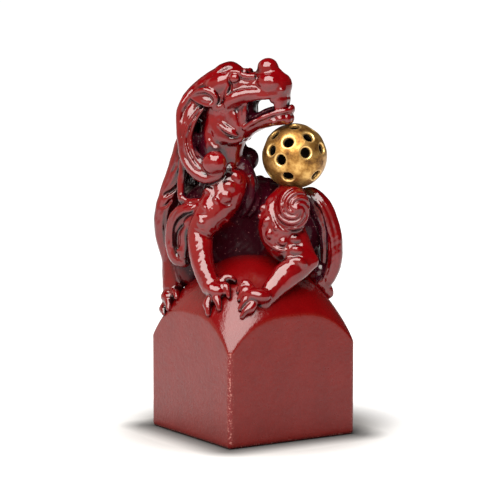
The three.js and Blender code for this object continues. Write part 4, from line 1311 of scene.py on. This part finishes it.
def block_finish():
    """Glossy dark red glaze on the dome, and a rubbed satin skin on the four panels."""
    material, look, shader = new_material("block_red")
    panel = look.vertex_value("panel")
    cloud = look.noise(120, 5, 0.6)
    dome_colour = look.ramp(cloud, (0.3, (0.082, 0.0004, 0.0008)), (0.7, (0.1, 0.0008, 0.0012)))
    panel_colour = look.ramp(cloud, (0.3, (0.09, 0.0025, 0.0012)), (0.7, (0.112, 0.0035, 0.0018)))
    colour = look.mixed("MIX", panel, dome_colour, panel_colour)
    crumbs = look.ramp(look.noise(1600, 3), (0.56, 0.0), (0.62, 0.7))
    chipped = look.mixed("MULTIPLY", 1.0, crumbs, look.vertex_value("corner"))
    look.link(look.mixed("MIX", chipped, colour, (0.3, 0.12, 0.1)), shader.inputs["Base Color"])
    grain = look.noise(900, 4)
    rough = look.mixed("MIX", panel, grey(0.21), look.ramp(grain, (0.3, 0.27), (0.7, 0.4)))
    look.link(rough, shader.inputs["Roughness"])
    shader.inputs["IOR"].default_value = 1.5
    shader.inputs["Specular IOR Level"].default_value = 0.33
    look.bump(shader, grain, 0.5, 0.0002)
    return material


# Colours of each glaze on edges, in the open and in deep hollows; the darkening into hollows is painted shade
red = glaze("red_glaze", (0.115, 0.0008, 0.0018), (0.09, 0.0005, 0.0012), (0.01, 0.0005, 0.001), 0.5)
hollow_shade_red = (0.008, 0.0005, 0.001)
dark_red = glaze("dark_red_glaze", (0.05, 0.002, 0.003), (0.03, 0.001, 0.002), hollow_shade_red, 0.1)
# Painted shade: a darker copy of the red glaze for the pieces behind the others
shaded_pooled_red = glaze("shaded_pooled_glaze", (0.1, 0.0008, 0.0018), (0.05, 0.0005, 0.0012), hollow_shade_red, 0.14)
build_figure(red, dark_red, shaded_pooled_red)
build_ball().data.materials.append(gilding())
build_block().data.materials.append(block_finish())


# Stage
def metres(u, v, h):
    return Vector(to_block(at(u, v, h)) / 1000)


def stand(name, data, target, distance, elevation, bearing=0):
    """Puts something on the stage that looks at a target from a distance. Angles are in degrees, and
    bearings run from the viewer, left below zero."""
    side, lift = math.radians(bearing), math.radians(elevation)
    level = math.cos(lift)
    place = target + distance * np.array([level * math.sin(side), -level * math.cos(side), math.sin(lift)])
    thing = bpy.data.objects.new(name, data)
    bpy.context.scene.collection.objects.link(thing)
    thing.location = metres(*place)
    thing.rotation_mode = "QUATERNION"
    thing.rotation_quaternion = (metres(*target) - thing.location).to_track_quat("-Z", "Y")
    return thing


def build_softbox():
    """A wide soft light over the viewer's left shoulder."""
    width, height, brightness = 820, 630, 11.5
    data = bpy.data.lights.new("overhead_softbox", "AREA")
    data.shape = "RECTANGLE"
    data.size, data.size_y = width / 1000, height / 1000
    data.energy = brightness * math.pi * data.size * data.size_y
    data.color = (1.0, 0.97, 0.93)
    stand("overhead_softbox", data, at(0, 0, 5), 700, 54, -17)


def build_floor():
    """A wide white sheet that glows from a little way off the block, so that it stays white to its far
    edge, with a painted contact shadow round the block's foot.
    """
    mesh = bpy.data.meshes.new("floor")
    reach = 12.0
    corners = [(-reach, -reach, 0), (reach, -reach, 0), (reach, reach, 0), (-reach, reach, 0)]
    mesh.from_pydata(corners, [], [(0, 1, 2, 3)])
    floor = bpy.data.objects.new("floor", mesh)
    bpy.context.scene.collection.objects.link(floor)
    material, look, shader = new_material("pale_floor")
    shader.inputs["Roughness"].default_value = 0.6
    half_block = block_width / 2 / 1000
    beside = look.vector_math("ABSOLUTE", look.place())
    beside = look.vector_math("SUBTRACT", beside, (half_block, half_block, 0))
    beside = look.vector_math("MAXIMUM", beside, (0, 0, 0))
    # Painted contact shadow: the floor darkens towards the block's foot
    painted_contact_shadow = look.ramp(look.vector_math("LENGTH", beside), (0.0, 0.05), (0.004, 0.13), (0.012, 0.4))
    look.link(painted_contact_shadow, shader.inputs["Base Color"])
    # The floor glows from a little way off the block; near the block the glow fades out as painted shade
    glow = look.ramp(look.vector_math("LENGTH", look.place()), (0.04, 0.0), (0.052, 0.4), (0.072, 1.0))
    look.link(glow, shader.inputs["Emission Color"])
    shader.inputs["Emission Strength"].default_value = 1.0
    mesh.materials.append(material)


def compass(look, u, v, h):
    """How far a direction of the world points along this one of the figure's frame."""
    direction = tuple(unit(to_block(at(u, v, h)) - to_block(origin)))
    return look.vector_math("DOT_PRODUCT", look.place("Generated"), direction)


def build_world():
    """White card all round but on the right, up to a little above the figure, in a dim room."""
    world = bpy.data.worlds.new("studio")
    bpy.context.scene.world = world
    look = Look(world)
    side = look.add("MapRange")
    side.inputs["From Min"].default_value = -1
    look.link(compass(look, -0.866, -0.5, 0), side.inputs["Value"])
    around = look.ramp(side.outputs["Result"], (0.0, 0.06), (0.5, 0.12), (0.6, 1.0))
    rise = look.ramp(compass(look, 0, 0, 1), (0.5, 1.0), (0.6, 0.06))
    light = look.mixed("MULTIPLY", 1.0, around, rise)
    background = look.nodes["Background"]
    look.link(look.mixed("MULTIPLY", 1.0, light, (1.0, 0.82, 0.7)), background.inputs["Color"])
    background.inputs["Strength"].default_value = 0.86


def build_camera():
    """A camera straight in front of the figure and a little above it, as far off as the photo's was."""
    data = bpy.data.cameras.new("camera")
    data.sensor_width = 36
    data.lens = 170.5
    data.clip_start, data.clip_end = 0.01, 20
    bpy.context.scene.camera = stand("camera", data, at(-0.81, 0, 2 - 0.33), 800, 7)


build_floor()
build_world()
build_softbox()
build_camera()
bpy.context.scene.view_settings.view_transform = "Standard"
